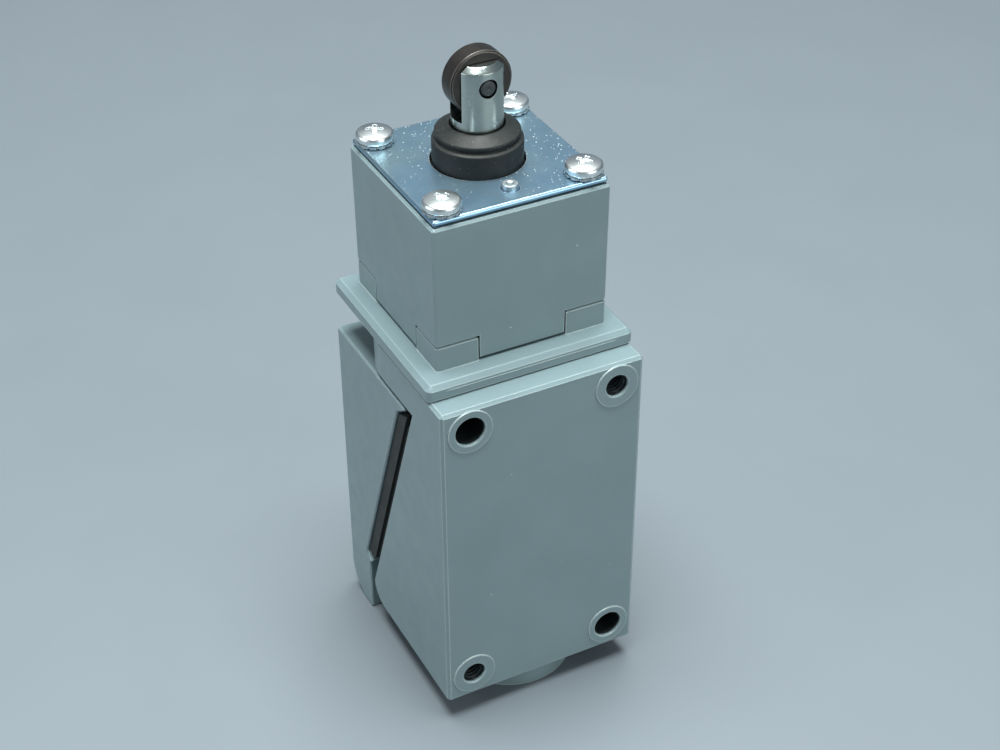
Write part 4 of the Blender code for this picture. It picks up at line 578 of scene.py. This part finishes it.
def carve(item: bpy.types.Object, cutter: bpy.types.Object) -> bpy.types.Object:
    """Cut one object from another and drop the cutter."""
    modifier = item.modifiers.new("cut", "BOOLEAN")
    modifier.operation = "DIFFERENCE"
    modifier.solver = "EXACT"
    modifier.object = cutter
    evaluated(item)
    bpy.data.objects.remove(cutter, do_unlink=True)
    return item


def weighted(item: bpy.types.Object) -> bpy.types.Object:
    """Shade by face area, so that large flat faces stay flat beside their rounded edges."""
    modifier = item.modifiers.new("area_normals", "WEIGHTED_NORMAL")
    modifier.keep_sharp = True
    return item


def softened(node: str, name: str, broad: float, fine: float) -> bpy.types.Object:
    """A merged copy of a CAD node, bevelled as far as its shortest edges leave room.

    The edges of a chamfer turn 30 to 60 degrees and take the broad width; sharper ones, as
    round holes and slots, take the fine width. The overlap clamp then holds every edge of
    a pass to what the tightest one allows, so the widths are upper limits: the sharp edges
    of the castings and the cover plate get much less, and some next to nothing.

    Args:
        node: the CAD node to copy.
        name: the new piece's name.
        broad: widest bevel of chamfer edges, millimetres.
        fine: widest bevel of the sharper edges, millimetres.

    Returns:
        The new piece.
    """
    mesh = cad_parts[node].data.copy()
    mesh.name = name
    mesh.materials.clear()
    shape = bmesh.new()
    shape.from_mesh(mesh)
    bmesh.ops.remove_doubles(shape, verts=shape.verts, dist=WELD_DISTANCE)
    bmesh.ops.dissolve_degenerate(shape, edges=shape.edges, dist=WELD_DISTANCE)
    bmesh.ops.dissolve_limit(shape, verts=shape.verts, edges=shape.edges,
                             angle_limit=math.radians(FLAT_TURN))
    gentle, steep = CHAMFER_TURN
    for low, high, width in ((gentle, steep, broad), (steep, 180.0, fine)):
        edges = [edge for edge in shape.edges
                 if len(edge.link_faces) == 2
                 and math.radians(low) < edge.calc_face_angle(0.0) <= math.radians(high)]
        if edges and width > 0.0:
            bmesh.ops.bevel(shape, geom=edges, offset=width * MM, segments=2, profile=0.5,
                            affect="EDGES", clamp_overlap=True)
    shape.to_mesh(mesh)
    shape.free()
    mesh.shade_smooth()
    mesh.set_sharp_from_angle(angle=math.radians(SHARP_TURN))
    item = bpy.data.objects.new(name, mesh)
    bpy.context.collection.objects.link(item)
    return weighted(item)


def dress(item: bpy.types.Object, look: Look, slot: str, body: str, *nodes: str) -> None:
    """Give a new piece its material and body, and hide the CAD nodes that it stands for.

    Args:
        item: the new piece.
        look: its finish.
        slot: a material slot name; not used.
        body: the body that it moves with.
        nodes: CAD nodes that it replaces, if any.
    """
    item.data.materials.clear()
    item.data.materials.append(look.material())
    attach(item, body)
    if nodes:
        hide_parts(*nodes)
    log.info("%s: %d faces, %s, rides on %s", item.name, len(item.data.polygons),
             look.value.name, body)


# ---------------------------------------------------------------- castings

@dataclass
class Castings:
    """The painted castings: receptacle, switch body and operating head.

    The two widths are what is asked for; see `softened` for what the meshes allow.
    """

    broad_edge: float = 0.30
    fine_edge: float = 0.14

    def build(self) -> None:
        """Copy the three castings and paint them."""
        for node, name in (("receptacle_housing", "receptacle_casting"),
                           ("switch_body_housing", "switch_body_casting"),
                           ("head_housing", "head_casting")):
            item = softened(node, name, self.broad_edge, self.fine_edge)
            dress(item, Look.ENAMEL, "grey_enamel", "housing", node)


@dataclass
class PartingLine:
    """Thin ridge that the die leaves along the rear side of the flange."""

    margin: float = 3.0
    setback: float = 0.45
    drop: float = 1.75
    half_height: float = 0.11
    proud: float = 0.07
    sunk: float = 0.02
    root: float = 0.2
    taper: float = 1.5
    columns: int = 60
    rows: int = 9

    def build(self) -> None:
        """Sweep a half-round ridge along the flange, which is as deep as it is wide.

        At the share s of its length the ridge stands out by proud times sin(pi t), with t
        running over its height, and it fades out within `taper` of both ends.
        """
        low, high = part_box("switch_body_housing")
        half = (high.x - low.x) / 2 / MM - self.margin
        rear = low.y / MM + self.setback + (high.x - low.x) / MM
        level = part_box("head_housing")[0].z / MM - self.drop
        along = np.linspace(-half, half, self.columns)[:, None]
        across = np.linspace(0.0, 1.0, self.rows)[None, :]
        fade = smooth_step(half - np.abs(along), 0.0, self.taper)
        out = rear - self.sunk + self.proud * np.sin(math.pi * across) * fade
        rise = level + self.half_height * (2.0 * across - 1.0)
        ridge = np.stack(np.broadcast_arrays(along, out, rise), -1)
        back = np.stack(np.broadcast_arrays(along, rear - self.root, rise[:, ::-1]), -1)
        grid = np.concatenate([ridge, back], 1)
        ends = np.repeat(grid[[0, -1]].mean(1, keepdims=True), grid.shape[1], 1)
        grid = np.concatenate([ends[:1], grid, ends[1:]], 0) * MM
        item = Surface.grid(grid).piece("flange_parting_line")
        dress(item, Look.ENAMEL, "grey_enamel", "housing")


@dataclass
class Threads:
    """Threads in the tapped mounting holes and the conduit hub, and dark liners in the through
    holes that paint the shade inside them.
    """

    hole_radius: float = 2.28
    hole_crest: float = 1.95
    hole_pitch: float = 0.8
    hole_inset: float = 0.6
    hole_length: float = 10.0
    hub_radius: float = 10.28
    hub_crest: float = 9.35
    hub_pitch: float = 1.81
    hub_length: float = 7.4
    hub_lift: float = 0.35
    skin: float = 0.04
    flank: float = 0.92
    rows_per_turn: int = 10
    bore_radius: float = 2.94
    bore_wall: float = 0.05
    bore_length: float = 30.0
    hole_spacing_x: float = 30.2
    hole_low_z: float = 10.55
    hole_high_z: float = 70.05
    hub_y: float = 9.0

    def liner(self, radius: float, crest: float, pitch: float, length: float,
              steps: int = 48) -> np.ndarray:
        """Grid of a threaded liner about Z, from height zero up.

        The inner wall leaves the outer one by skin + flank times (radius - crest) times a
        triangle wave of height / pitch - angle / turn, so the wave climbs as a helix. It
        fades out within a pitch of both ends. The ends and the outer wall close it.

        Args:
            radius: outer wall, millimetres.
            crest: smallest radius, millimetres.
            pitch: rise in one turn, millimetres.
            length: height of the liner, millimetres.
            steps: columns round the axis.

        Returns:
            Array of shape (rows, steps, 3), metres.
        """
        rows = int(length / pitch * self.rows_per_turn)
        angle = np.arange(steps) * math.tau / steps
        height = np.linspace(0.0, length, rows)[:, None]
        phase = np.mod(height / pitch - angle[None, :] / math.tau, 1.0)
        wave = np.abs(2.0 * phase - 1.0)
        fade = smooth_step(height, 0.0, pitch) * smooth_step(length - height, 0.0, pitch)
        depth = (radius - crest) * self.flank * (1.0 - wave) * fade
        inner = radius - self.skin - depth
        wall = np.full((1, steps), radius)
        radii = np.vstack([wall, inner, wall])
        heights = np.vstack([height[:1], height, height[-1:]])
        along = np.broadcast_to(heights, radii.shape)
        return np.stack([radii * np.cos(angle), radii * np.sin(angle), along], -1) * MM

    def build(self) -> None:
        """Line the tapped holes and the hub with threads, and the through holes with dark liners
        as painted shade.
        """
        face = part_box("receptacle_housing")[1].y / MM
        half = self.hole_spacing_x / 2
        for name, x, z in (("upper", -half, self.hole_high_z), ("lower", half, self.hole_low_z)):
            grid = self.liner(self.hole_radius, self.hole_crest, self.hole_pitch, self.hole_length)
            turned = grid[..., [0, 2, 1]] * np.array([1.0, -1.0, 1.0])
            turned += np.array([x, face - self.hole_inset, z]) * MM
            item = Surface.grid(turned, close_u=True).piece(f"tapped_thread_{name}")
            dress(item, Look.DRILLED, "grey_enamel", "housing")
        # dark thin liners in the through holes: painted shade inside the holes
        for name, x, z in (("upper", half, self.hole_high_z), ("lower", -half, self.hole_low_z)):
            outer, inner = self.bore_radius, self.bore_radius - self.bore_wall
            near, far = face - self.hole_inset, face - self.hole_inset - self.bore_length
            ring = np.array([(outer, near), (inner, near), (inner, far), (outer, far),
                             (outer, near)]) * MM
            lining = Surface.turned(ring, Vector((x * MM, 0.0, z * MM)), "y", 64)
            item = lining.piece(f"bore_shade_liner_{name}")
            dress(item, Look.DRILLED, "grey_enamel", "housing")
        grid = self.liner(self.hub_radius, self.hub_crest, self.hub_pitch, self.hub_length, 96)
        grid = grid + np.array([0.0, self.hub_y, self.hub_lift]) * MM
        item = Surface.grid(grid, close_u=True).piece("conduit_thread")
        dress(item, Look.ENAMEL, "grey_enamel", "housing")


@dataclass
class JointGasket:
    """The rubber gasket on the sloping joint of the body."""

    edge: float = 0.14

    def build(self) -> None:
        """Bevel the gasket's edges as far as they allow and give it its rubber."""
        item = softened("body_gasket", "joint_gasket", self.edge, self.edge)
        dress(item, Look.GASKET, "gasket_rubber", "housing", "body_gasket")


# ---------------------------------------------------------------- operating head

@dataclass
class CoverPlate:
    """Zinc-plated cover plate of the head and the pin that locates it."""

    edge: float = 0.16
    pin_radius: float = 1.5
    pin_edge: float = 0.2
    dimple_radius: float = 0.7
    dimple_depth: float = 0.2

    def build(self) -> None:
        """Make the plate and its pin."""
        item = softened("head_cover_plate", "cover_plate", self.edge, self.edge)
        dress(item, Look.PLATE, "zinc_plated_steel", "housing", "head_cover_plate")
        low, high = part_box("plate_locating_pin")
        centre = centre_of("plate_locating_pin")
        top = high.z / MM
        profile = filleted([
            (0.0, low.z / MM, 0.0), (self.pin_radius, low.z / MM, 0.1),
            (self.pin_radius, top, self.pin_edge), (self.dimple_radius, top, 0.15),
            (self.dimple_radius * 0.5, top - self.dimple_depth, 0.2),
            (0.0, top - self.dimple_depth, 0.0)])
        axis = Vector((centre.x, centre.y, 0.0))
        item = Surface.turned(profile, axis, steps=48).piece("plate_pin")
        dress(item, Look.DULL_ZINC, "zinc_plated_steel", "housing", "plate_locating_pin")


@dataclass
class HeadScrews:
    """Four cross-recessed pan head screws with toothed lock washers under them."""

    count: int = 4
    shank_radius: float = 1.75
    shank_gap: float = 0.2
    dome: float = 0.3
    roll: float = 0.5
    band: float = 0.25
    under_edge: float = 0.12
    tip_edge: float = 0.4
    seat_gap: float = 0.1
    arm_half_width: float = 0.34
    arm_reach: float = 1.65
    recess_depth: float = 0.95
    wall_run: float = 0.16
    end_run: float = 0.24
    slope: float = 0.55
    margin: float = 0.2
    turns: tuple[float, ...] = (20.0, 63.0, 35.0, 8.0)
    teeth: int = 12
    tooth_depth: float = 0.3
    tooth_twist: float = 0.02
    tooth_bounds: tuple[float, float] = (-0.75, -0.35)
    steps_per_tooth: int = 12
    rings: int = 56
    outer_rings: int = 18
    columns: int = 128

    def crown(self, radius: np.ndarray, cap: float, height: float) -> np.ndarray:
        """Height of the plain head at each radius.

        A low dome, height times (1 - dome share^2), stands on an upright band. The dome rolls
        over into the band within the last `roll` of the radius, as a quarter circle.

        Args:
            radius: distances from the screw's axis, millimetres.
            cap: radius of the head, millimetres.
            height: height of the head, millimetres.

        Returns:
            Heights above the seat, millimetres.
        """
        top = height * (1.0 - self.dome * np.clip(radius / cap, 0.0, 1.0) ** 2)
        near = np.clip((radius - (cap - self.roll)) / self.roll, 0.0, 1.0)
        return top - self.roll * (1.0 - np.sqrt(1.0 - near * near))

    def recess(self, across: np.ndarray, beside: np.ndarray) -> np.ndarray:
        """Depth of the cross recess: two crossed arms with steep walls, deeper inwards."""
        arms = []
        for wide, long in ((across, beside), (beside, across)):
            room = self.arm_half_width + self.wall_run - np.abs(wide)
            wall = smooth_step(room, 0.0, self.wall_run)
            end = smooth_step(self.arm_reach - np.abs(long), 0.0, self.end_run)
            slope = 1.0 - self.slope * np.clip(np.abs(long) / self.arm_reach, 0.0, 1.0)
            arms.append(wall * end * slope)
        return self.recess_depth * np.maximum(*arms)

    def head(self, cap: float, height: float, low: float, tip: float, turn: float) -> np.ndarray:
        """Grid of a whole screw about Z: its head as a height over the plane, then its shank.

        Args:
            cap: radius of the head, millimetres.
            height: height of the head, millimetres.
            low: height of the seat under the head, millimetres.
            tip: height of the shank's end, millimetres.
            turn: how far the recess is turned, degrees.

        Returns:
            Array of shape (rows, columns, 3), metres.
        """
        angle = np.arange(self.columns) * math.tau / self.columns
        reach = self.arm_reach + self.margin
        inner = np.linspace(0.0, reach, self.rings)
        outer = reach + (cap - reach) * np.sin(
            np.linspace(0.0, math.pi / 2, self.outer_rings))[1:]
        radius = np.concatenate([inner, outer])[:, None]
        spin = angle[None, :] - math.radians(turn)
        dip = self.recess(radius * np.cos(spin), radius * np.sin(spin))
        top = low + self.crown(radius, cap, height) - dip
        shank = self.shank_radius
        lower = np.array([(cap, low + self.band), (cap - self.under_edge, low), (shank, low),
                          (shank, tip + self.tip_edge), (shank - self.tip_edge, tip),
                          (0.0, tip)])
        radii = np.vstack([np.broadcast_to(radius, top.shape),
                           np.broadcast_to(lower[:, :1], (len(lower), self.columns))])
        heights = np.vstack([np.maximum(top, low + self.band),
                             np.broadcast_to(lower[:, 1:], (len(lower), self.columns))])
        return np.stack([radii * np.cos(angle), radii * np.sin(angle), heights], -1) * MM

    def washer(self, radius: float, low: float, high: float) -> np.ndarray:
        """Grid of a toothed washer about Z.

        The rim swings between the full radius and the tooth root as a smooth step of the
        cosine of the angle times the number of teeth, and each tooth is twisted: one flank
        is up and the other is down.

        Args:
            radius: over the teeth, millimetres.
            low: height of the lower face, millimetres.
            high: height of the upper face, millimetres.

        Returns:
            Array of shape (rows, columns, 3), metres.
        """
        steps = self.teeth * self.steps_per_tooth
        angle = np.arange(steps) * math.tau / steps
        wave = np.cos(self.teeth * angle)
        tooth = smooth_step(wave, *self.tooth_bounds)
        twist = np.sin(self.teeth * angle) * tooth * self.tooth_twist
        root = radius - self.tooth_depth
        rim = root + self.tooth_depth * tooth
        bore = np.full(steps, self.shank_radius + self.shank_gap)
        ring = np.full(steps, root)
        flat = np.zeros(steps)
        radii = np.stack([bore, ring, rim, rim, ring, bore])
        tilt = np.stack([flat, flat, twist, twist, flat, flat])
        level = np.array([high, high, high, low, low, low])[:, None] + tilt
        return np.stack([radii * np.cos(angle), radii * np.sin(angle), level], -1) * MM

    def build(self) -> None:
        """Make each screw and its washer where the CAD node stands."""
        for number in range(1, self.count + 1):
            node = f"head_screw_{number}"
            ring = f"head_lock_washer_{number}"
            low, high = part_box(node)
            centre = centre_of(node)
            cap = (high.x - low.x) / 2 / MM
            washer_low, washer_high = (corner.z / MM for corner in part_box(ring))
            seat = washer_high + self.seat_gap
            place = np.array([centre.x, centre.y, 0.0])
            grid = self.head(cap, high.z / MM - seat, seat, low.z / MM, self.turns[number - 1])
            item = Surface.grid(grid + place).piece(f"pan_screw_{number}", 40.0)
            dress(item, Look.SCREW, "zinc_plated_steel", "housing", node)
            rim = (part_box(ring)[1].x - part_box(ring)[0].x) / 2 / MM
            grid = self.washer(rim, washer_low, washer_high)
            item = Surface.grid(grid + place, close_u=True).piece(f"toothed_washer_{number}")
            dress(item, Look.DULL_ZINC, "zinc_plated_steel", "housing", ring)


@dataclass
class Boot:
    """Rubber boot round the plunger: collar, groove and wiping lip."""

    collar: float = 8.3
    groove: float = 7.45
    lip: float = 7.8
    bore: float = 5.05
    wall: float = 1.7
    land: float = 0.5
    flange: float = 10.3
    flange_height: float = 1.6
    collar_drop: float = 2.95
    groove_drops: tuple[float, float] = (2.55, 2.25)
    lip_drops: tuple[float, float] = (1.9, 1.35)
    wiper_drop: float = 1.2
    hollow_drop: float = 3.2

    def build(self) -> None:
        """Turn the boot's rounded profile. The drops are heights below the crown."""
        low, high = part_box("plunger_boot")
        centre = centre_of("plunger_boot")
        base, crown = low.z / MM, high.z / MM
        hollow = self.collar - self.wall
        ledge = base + self.flange_height
        groove_low, groove_high = (crown - drop for drop in self.groove_drops)
        lip_low, lip_high = (crown - drop for drop in self.lip_drops)
        profile = filleted([
            (hollow, base, 0.0), (self.flange, base, 0.1), (self.flange, ledge, 0.2),
            (self.collar, ledge, 0.2), (self.collar, crown - self.collar_drop, 0.35),
            (self.groove, groove_low, 0.2), (self.groove, groove_high, 0.12),
            (self.lip, lip_low, 0.2), (self.lip, lip_high, 0.4),
            (self.bore + self.land, crown, 0.25), (self.bore, crown - 0.05, 0.05),
            (self.bore, crown - self.wiper_drop, 0.05),
            (hollow, crown - self.hollow_drop, 0.5), (hollow, base, 0.0)], 6)
        axis = Vector((centre.x, centre.y, 0.0))
        item = Surface.turned(profile, axis, steps=120).piece("rubber_boot")
        dress(item, Look.RUBBER, "black_rubber", "housing", "plunger_boot")


@dataclass
class PlungerUnit:
    """Forked plunger with the roller on its pin."""

    radius: float = 4.75
    chamfer: float = 1.0
    slot_width: float = 4.6
    slot_rise: float = 10.6
    pin_hole: float = 1.80
    tail_radius: float = 3.1
    tail_length: float = 3.2
    ring_step: float = 0.5
    mark_radius: float = 0.45
    mark_depth: float = 0.18
    pin_edge: float = 0.3
    roller_gap: float = 0.11
    roller_bore_edge: float = 0.15
    roller_edge: float = 0.32
    edge: float = 0.12

    def build(self) -> None:
        """Make the plunger, its pin and the roller."""
        self.build_plunger()
        self.build_pin()
        self.build_roller()

    def build_plunger(self) -> None:
        """Turn the plunger, then cut its slot and the pin's hole."""
        low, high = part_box("plunger")
        centre = centre_of("plunger")
        base, top = low.z / MM, high.z / MM
        shoulder = base + self.tail_length
        profile = filleted([
            (0.0, base, 0.0), (self.tail_radius, base, 0.2), (self.tail_radius, shoulder, 0.1),
            (self.radius, shoulder, 0.2), (self.radius, top - self.chamfer, 0.15),
            (self.radius - self.chamfer, top, 0.15), (0.0, top, 0.0)], 4)
        axis = Vector((centre.x, centre.y, 0.0))
        body = Surface.turned(ringed(profile, self.ring_step), axis, steps=128)
        item = body.piece("forked_plunger")
        pin = centre_of("roller_pin")
        half = self.slot_width / 2
        floor = top - self.slot_rise
        wide = 3 * self.radius
        above = top + half
        outline = np.array([(-half, floor), (half, floor), (half, above), (-half, above)])
        ends = np.array([-wide, wide])
        grid = np.stack([np.broadcast_to(ends[:, None], (2, 4)),
                         np.broadcast_to(outline[:, 0], (2, 4)) + centre.y / MM,
                         np.broadcast_to(outline[:, 1], (2, 4))], -1) * MM
        carve(item, self.capped(grid))
        bore = np.array([(0.0, -wide), (self.pin_hole, -wide), (self.pin_hole, wide),
                         (0.0, wide)]) * MM
        cutter = Surface.turned(bore, pin, "y", 64).piece("pin_hole_cutter")
        carve(item, cutter)
        bevel = item.modifiers.new("broken_edges", "BEVEL")
        bevel.width = self.edge * MM
        bevel.segments = 2
        bevel.limit_method = "ANGLE"
        bevel.angle_limit = math.radians(40.0)
        bevel.harden_normals = True
        item.data.shade_smooth()
        item.data.set_sharp_from_angle(angle=math.radians(35.0))
        weighted(item)
        dress(item, Look.TURNED, "stainless_steel", "plunger", "plunger")

    @staticmethod
    def capped(grid: np.ndarray) -> bpy.types.Object:
        """A closed prism from two rows of four points, its ends filled."""
        surface = Surface.grid(grid)
        ends = np.array([[3, 2, 1, 0], [4, 5, 6, 7]])
        return Surface(surface.points, np.vstack([surface.faces, ends])).piece("slot_cutter")

    def build_pin(self) -> None:
        """Turn the pin with a rounded rim and a shallow centre mark at each end."""
        low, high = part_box("roller_pin")
        centre = centre_of("roller_pin")
        half = (high.y - low.y) / 2 / MM
        radius = (high.x - low.x) / 2 / MM
        profile = filleted([
            (0.0, -half + self.mark_depth, 0.0), (self.mark_radius, -half, 0.15),
            (radius, -half, self.pin_edge), (radius, half, self.pin_edge),
            (self.mark_radius, half, 0.15), (0.0, half - self.mark_depth, 0.0)])
        item = Surface.turned(profile, centre, "y", 48).piece("roller_axle")
        dress(item, Look.PIN, "oxided_steel", "plunger", "roller_pin")

    def build_roller(self) -> None:
        """Turn the roller: a plain wheel with flat sides, chamfered rim and a bore."""
        low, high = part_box("roller")
        centre = centre_of("roller")
        radius = (high.x - low.x) / 2 / MM
        half = (high.y - low.y) / 2 / MM
        pin_low, pin_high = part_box("roller_pin")
        bore = (pin_high.x - pin_low.x) / 2 / MM + self.roller_gap
        chamfer, edge = self.roller_bore_edge, self.roller_edge
        side = [(bore, half - chamfer, 0.05), (bore + chamfer, half, 0.05),
                (radius - edge, half, 0.12), (radius, half - edge, 0.12)]
        profile = filleted([(bore, 0.0, 0.0), *side,
                            *[(r, -h, f) for r, h, f in reversed(side)], (bore, 0.0, 0.0)])
        item = Surface.turned(profile, centre, "y", 128).piece("roller_wheel")
        dress(item, Look.BLACKENED, "oxided_steel", "roller", "roller")


# ---------------------------------------------------------------- front and inside

@dataclass
class FrontHardware:
    """The blank rating plate and the two captive screws on the front face."""

    def build(self) -> None:
        """Bevel the edges of the rating plate and the screws."""
        item = softened("nameplate", "rating_plate", 0.1, 0.1)
        dress(item, Look.ALUMINIUM, "anodised_aluminium", "housing", "nameplate")
        for place in ("upper", "lower"):
            node = f"body_screw_{place}"
            item = softened(node, f"captive_screw_{place}", 0.0, 0.1)
            dress(item, Look.SCREW, "zinc_plated_steel", "housing", node)


@dataclass(frozen=True)
class Coil:
    """One compression spring.

    Attributes:
        node: the CAD node that it stands for.
        name: the piece's name.
        body: the body that it rides on.
        wire: radius of its wire, millimetres.
        turns: number of turns.
        travel: how far it shortens at the plunger's limit, millimetres; not used.
    """

    node: str
    name: str
    body: str
    wire: float
    turns: int
    travel: float


@dataclass
class Springs:
    """Compression springs of drawn wire, which shorten as the plunger goes down."""

    coils: tuple[Coil, ...] = (
        Coil("plunger_return_spring", "return_spring_coil", "housing", 0.4, 5, 4.0),
        Coil("carrier_return_spring", "carrier_spring_coil", "housing", 0.3, 4, 2.0),
        Coil("overtravel_spring", "overtravel_spring_coil", "contact_carrier", 0.3, 4, 2.0))
    sides: int = 12
    steps_per_turn: int = 40

    def wound(self, radius: float, wire: float, turns: int, low: float,
              high: float) -> np.ndarray:
        """Grid of a coil about Z with its ends closed to points.

        The middle of the wire stands at radius times (cos a, sin a) and climbs evenly with
        the angle a; the wire's skin lies wire away from it, outwards and upwards by the
        cosine and the sine of the second angle.

        Args:
            radius: distance of the wire's middle from the axis, millimetres.
            wire: radius of the wire, millimetres.
            turns: number of turns.
            low: height of the lower end, millimetres.
            high: height of the upper end, millimetres.

        Returns:
            Array of shape (rows, sides, 3), millimetres.
        """
        share = np.linspace(0.0, 1.0, turns * self.steps_per_turn + 1)[:, None]
        turn = math.tau * turns * share
        around = np.arange(self.sides)[None, :] * math.tau / self.sides
        reach = radius + wire * np.cos(around)
        rise = low + wire + (high - low - 2 * wire) * share + wire * np.sin(around)
        skin = np.stack(np.broadcast_arrays(reach * np.cos(turn), reach * np.sin(turn), rise), -1)
        ends = np.repeat(skin[[0, -1]].mean(1, keepdims=True), self.sides, 1)
        return np.concatenate([ends[:1], skin, ends[1:]], 0)

    def build(self) -> None:
        """Wind the three springs where the CAD nodes stand."""
        for coil in self.coils:
            low, high = (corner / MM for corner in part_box(coil.node))
            centre = centre_of(coil.node)
            radius = (high.x - low.x) / 2 - coil.wire
            grid = self.wound(radius, coil.wire, coil.turns, low.z, high.z) * MM
            grid += np.array([0.0, centre.y, 0.0])
            item = Surface.grid(grid).piece(coil.name)
            dress(item, Look.SPRING, "spring_steel", coil.body, coil.node)
            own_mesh(item)


@dataclass
class InnerWorks:
    """Every CAD node that stays: each gets the finish of its material slot."""

    def build(self) -> None:
        """Assign the finishes to the nodes' material slots."""
        for name, item in sorted(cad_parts.items()):
            slots = item.material_slots
            look = SLOT_LOOKS[slots[0].material.name.split(".")[0]]
            for slot in slots:
                slot.material = look.material()
            log.info("%s keeps its shape, %s", name, look.value.name)


# ---------------------------------------------------------------- studio

@dataclass
class SoftLight:
    """One soft box: where it stands, its size and power."""

    name: str
    place: tuple[float, float, float]
    size: tuple[float, float]
    power: float
    color: str


@dataclass
class Studio:
    """Pale floor, soft light and the camera."""

    camera_place: tuple[float, float, float] = (0.1283, 0.2557, 0.2658)
    camera_right: tuple[float, float, float] = (-0.8883, 0.4593, -0.0041)
    camera_up: tuple[float, float, float] = (-0.2689, -0.5128, 0.8153)
    lens: float = 65.53
    sensor: float = 36.0
    target: tuple[float, float, float] = (0.0, 0.0, 0.06)
    floor_rings: tuple[float, ...] = (0.0, 0.3, 1.0, 2.5)
    floor_steps: int = 64
    floor_gap: float = 0.05
    floor_cloud: float = 30.0
    floor_colors: tuple[str, str] = ("#616a71", "#656e75")
    air_colors: tuple[str, str] = ("#8ea9bd", "#dfe7ec")
    air_full: float = 0.8
    air_strength: float = 0.40
    lights: list[SoftLight] = field(default_factory=lambda: [
        SoftLight("overhead_box", (0.0, 0.0, 1.0), (0.6, 0.6), 29.0, "#f8fbf8"),
        SoftLight("side_box", (0.9, -0.1, 0.3), (0.7, 0.7), 4.9, "#f2f4f2"),
        SoftLight("rear_box", (-0.35, 0.95, 0.3), (0.7, 0.7), 6.8, "#f2f6f0"),
    ])

    def build(self) -> None:
        """Make the whole studio."""
        self.build_camera()
        self.build_floor()
        self.build_world()
        for light in self.lights:
            self.build_light(light)

    def build_camera(self) -> None:
        """Place the camera from its right and up directions."""
        data = bpy.data.cameras.new("camera")
        data.lens = self.lens
        data.sensor_width = self.sensor
        item = bpy.data.objects.new("camera", data)
        bpy.context.collection.objects.link(item)
        right = Vector(self.camera_right).normalized()
        up = Vector(self.camera_up)
        up = (up - right * up.dot(right)).normalized()
        back = right.cross(up)
        turn = Matrix((right, up, back)).transposed().to_4x4()
        item.matrix_world = Matrix.Translation(self.camera_place) @ turn
        bpy.context.scene.camera = item

    def build_floor(self) -> None:
        """A pale round floor under the hub, as rings of a polar grid."""
        angle = np.arange(self.floor_steps) * math.tau / self.floor_steps
        radius = np.array(self.floor_rings)[:, None]
        level = np.full((len(self.floor_rings), self.floor_steps),
                        CAD_BOX[0][2] - self.floor_gap * MM)
        grid = np.stack([radius * np.cos(angle), radius * np.sin(angle), level], -1)
        item = Surface.grid(grid).piece("floor")
        graph = Graph("floor_matt_pale")
        place = graph.add("ShaderNodeTexCoord")
        noise = graph.add("ShaderNodeTexNoise", {}, {
            "Vector": (place, "Object"), "Scale": per_mm(self.floor_cloud), "Detail": 4.0})
        mix = graph.add("ShaderNodeMix", {"data_type": "RGBA"}, {
            MIX_SHARE: (noise, 0), MIX_FIRST: linear_rgba(self.floor_colors[0]),
            MIX_SECOND: linear_rgba(self.floor_colors[1])})
        shader = graph.add("ShaderNodeBsdfPrincipled", {}, {
            "Base Color": (mix, MIX_RESULT), "Roughness": 0.5})
        item.data.materials.append(graph.close(shader))

    def build_world(self) -> None:
        """Even cool light from all round, a little darker near the horizon."""
        world = bpy.data.worlds.new("studio_air")
        bpy.context.scene.world = world
        world.use_nodes = True
        tree = world.node_tree
        place = add_node(tree, "ShaderNodeTexCoord")
        parts = add_node(tree, "ShaderNodeSeparateXYZ", {}, {0: (place, "Generated")})
        ramp = add_node(tree, "ShaderNodeValToRGB", {}, {0: (parts, 2)})
        stops = ramp.color_ramp.elements
        for stop, level, color in zip(stops, (0.0, self.air_full), self.air_colors):
            stop.position = level
            stop.color = linear_rgba(color)
        back = tree.nodes["Background"]
        tree.links.new(ramp.outputs[0], back.inputs["Color"])
        back.inputs["Strength"].default_value = self.air_strength

    def build_light(self, light: SoftLight) -> None:
        """Hang one soft box and turn it to the switch."""
        data = bpy.data.lights.new(light.name, "AREA")
        data.shape = "RECTANGLE"
        data.size, data.size_y = light.size
        data.energy = light.power
        data.color = linear_rgba(light.color)[:3]
        item = bpy.data.objects.new(light.name, data)
        bpy.context.collection.objects.link(item)
        place = Vector(light.place)
        aim = (Vector(self.target) - place).to_track_quat("-Z", "Y")
        item.matrix_world = Matrix.Translation(place) @ aim.to_matrix().to_4x4()


def main() -> None:
    """Build every sub-assembly in order, then the studio."""
    logging.basicConfig(level=logging.INFO, format="%(message)s")
    bpy.context.scene.view_settings.view_transform = "Standard"
    assemblies = [InnerWorks(), Castings(), PartingLine(), Threads(), JointGasket(), CoverPlate(),
                  HeadScrews(), Boot(), PlungerUnit(), Springs(), FrontHardware(), Studio()]
    for assembly in assemblies:
        assembly.build()


if __name__ == "__main__":
    main()
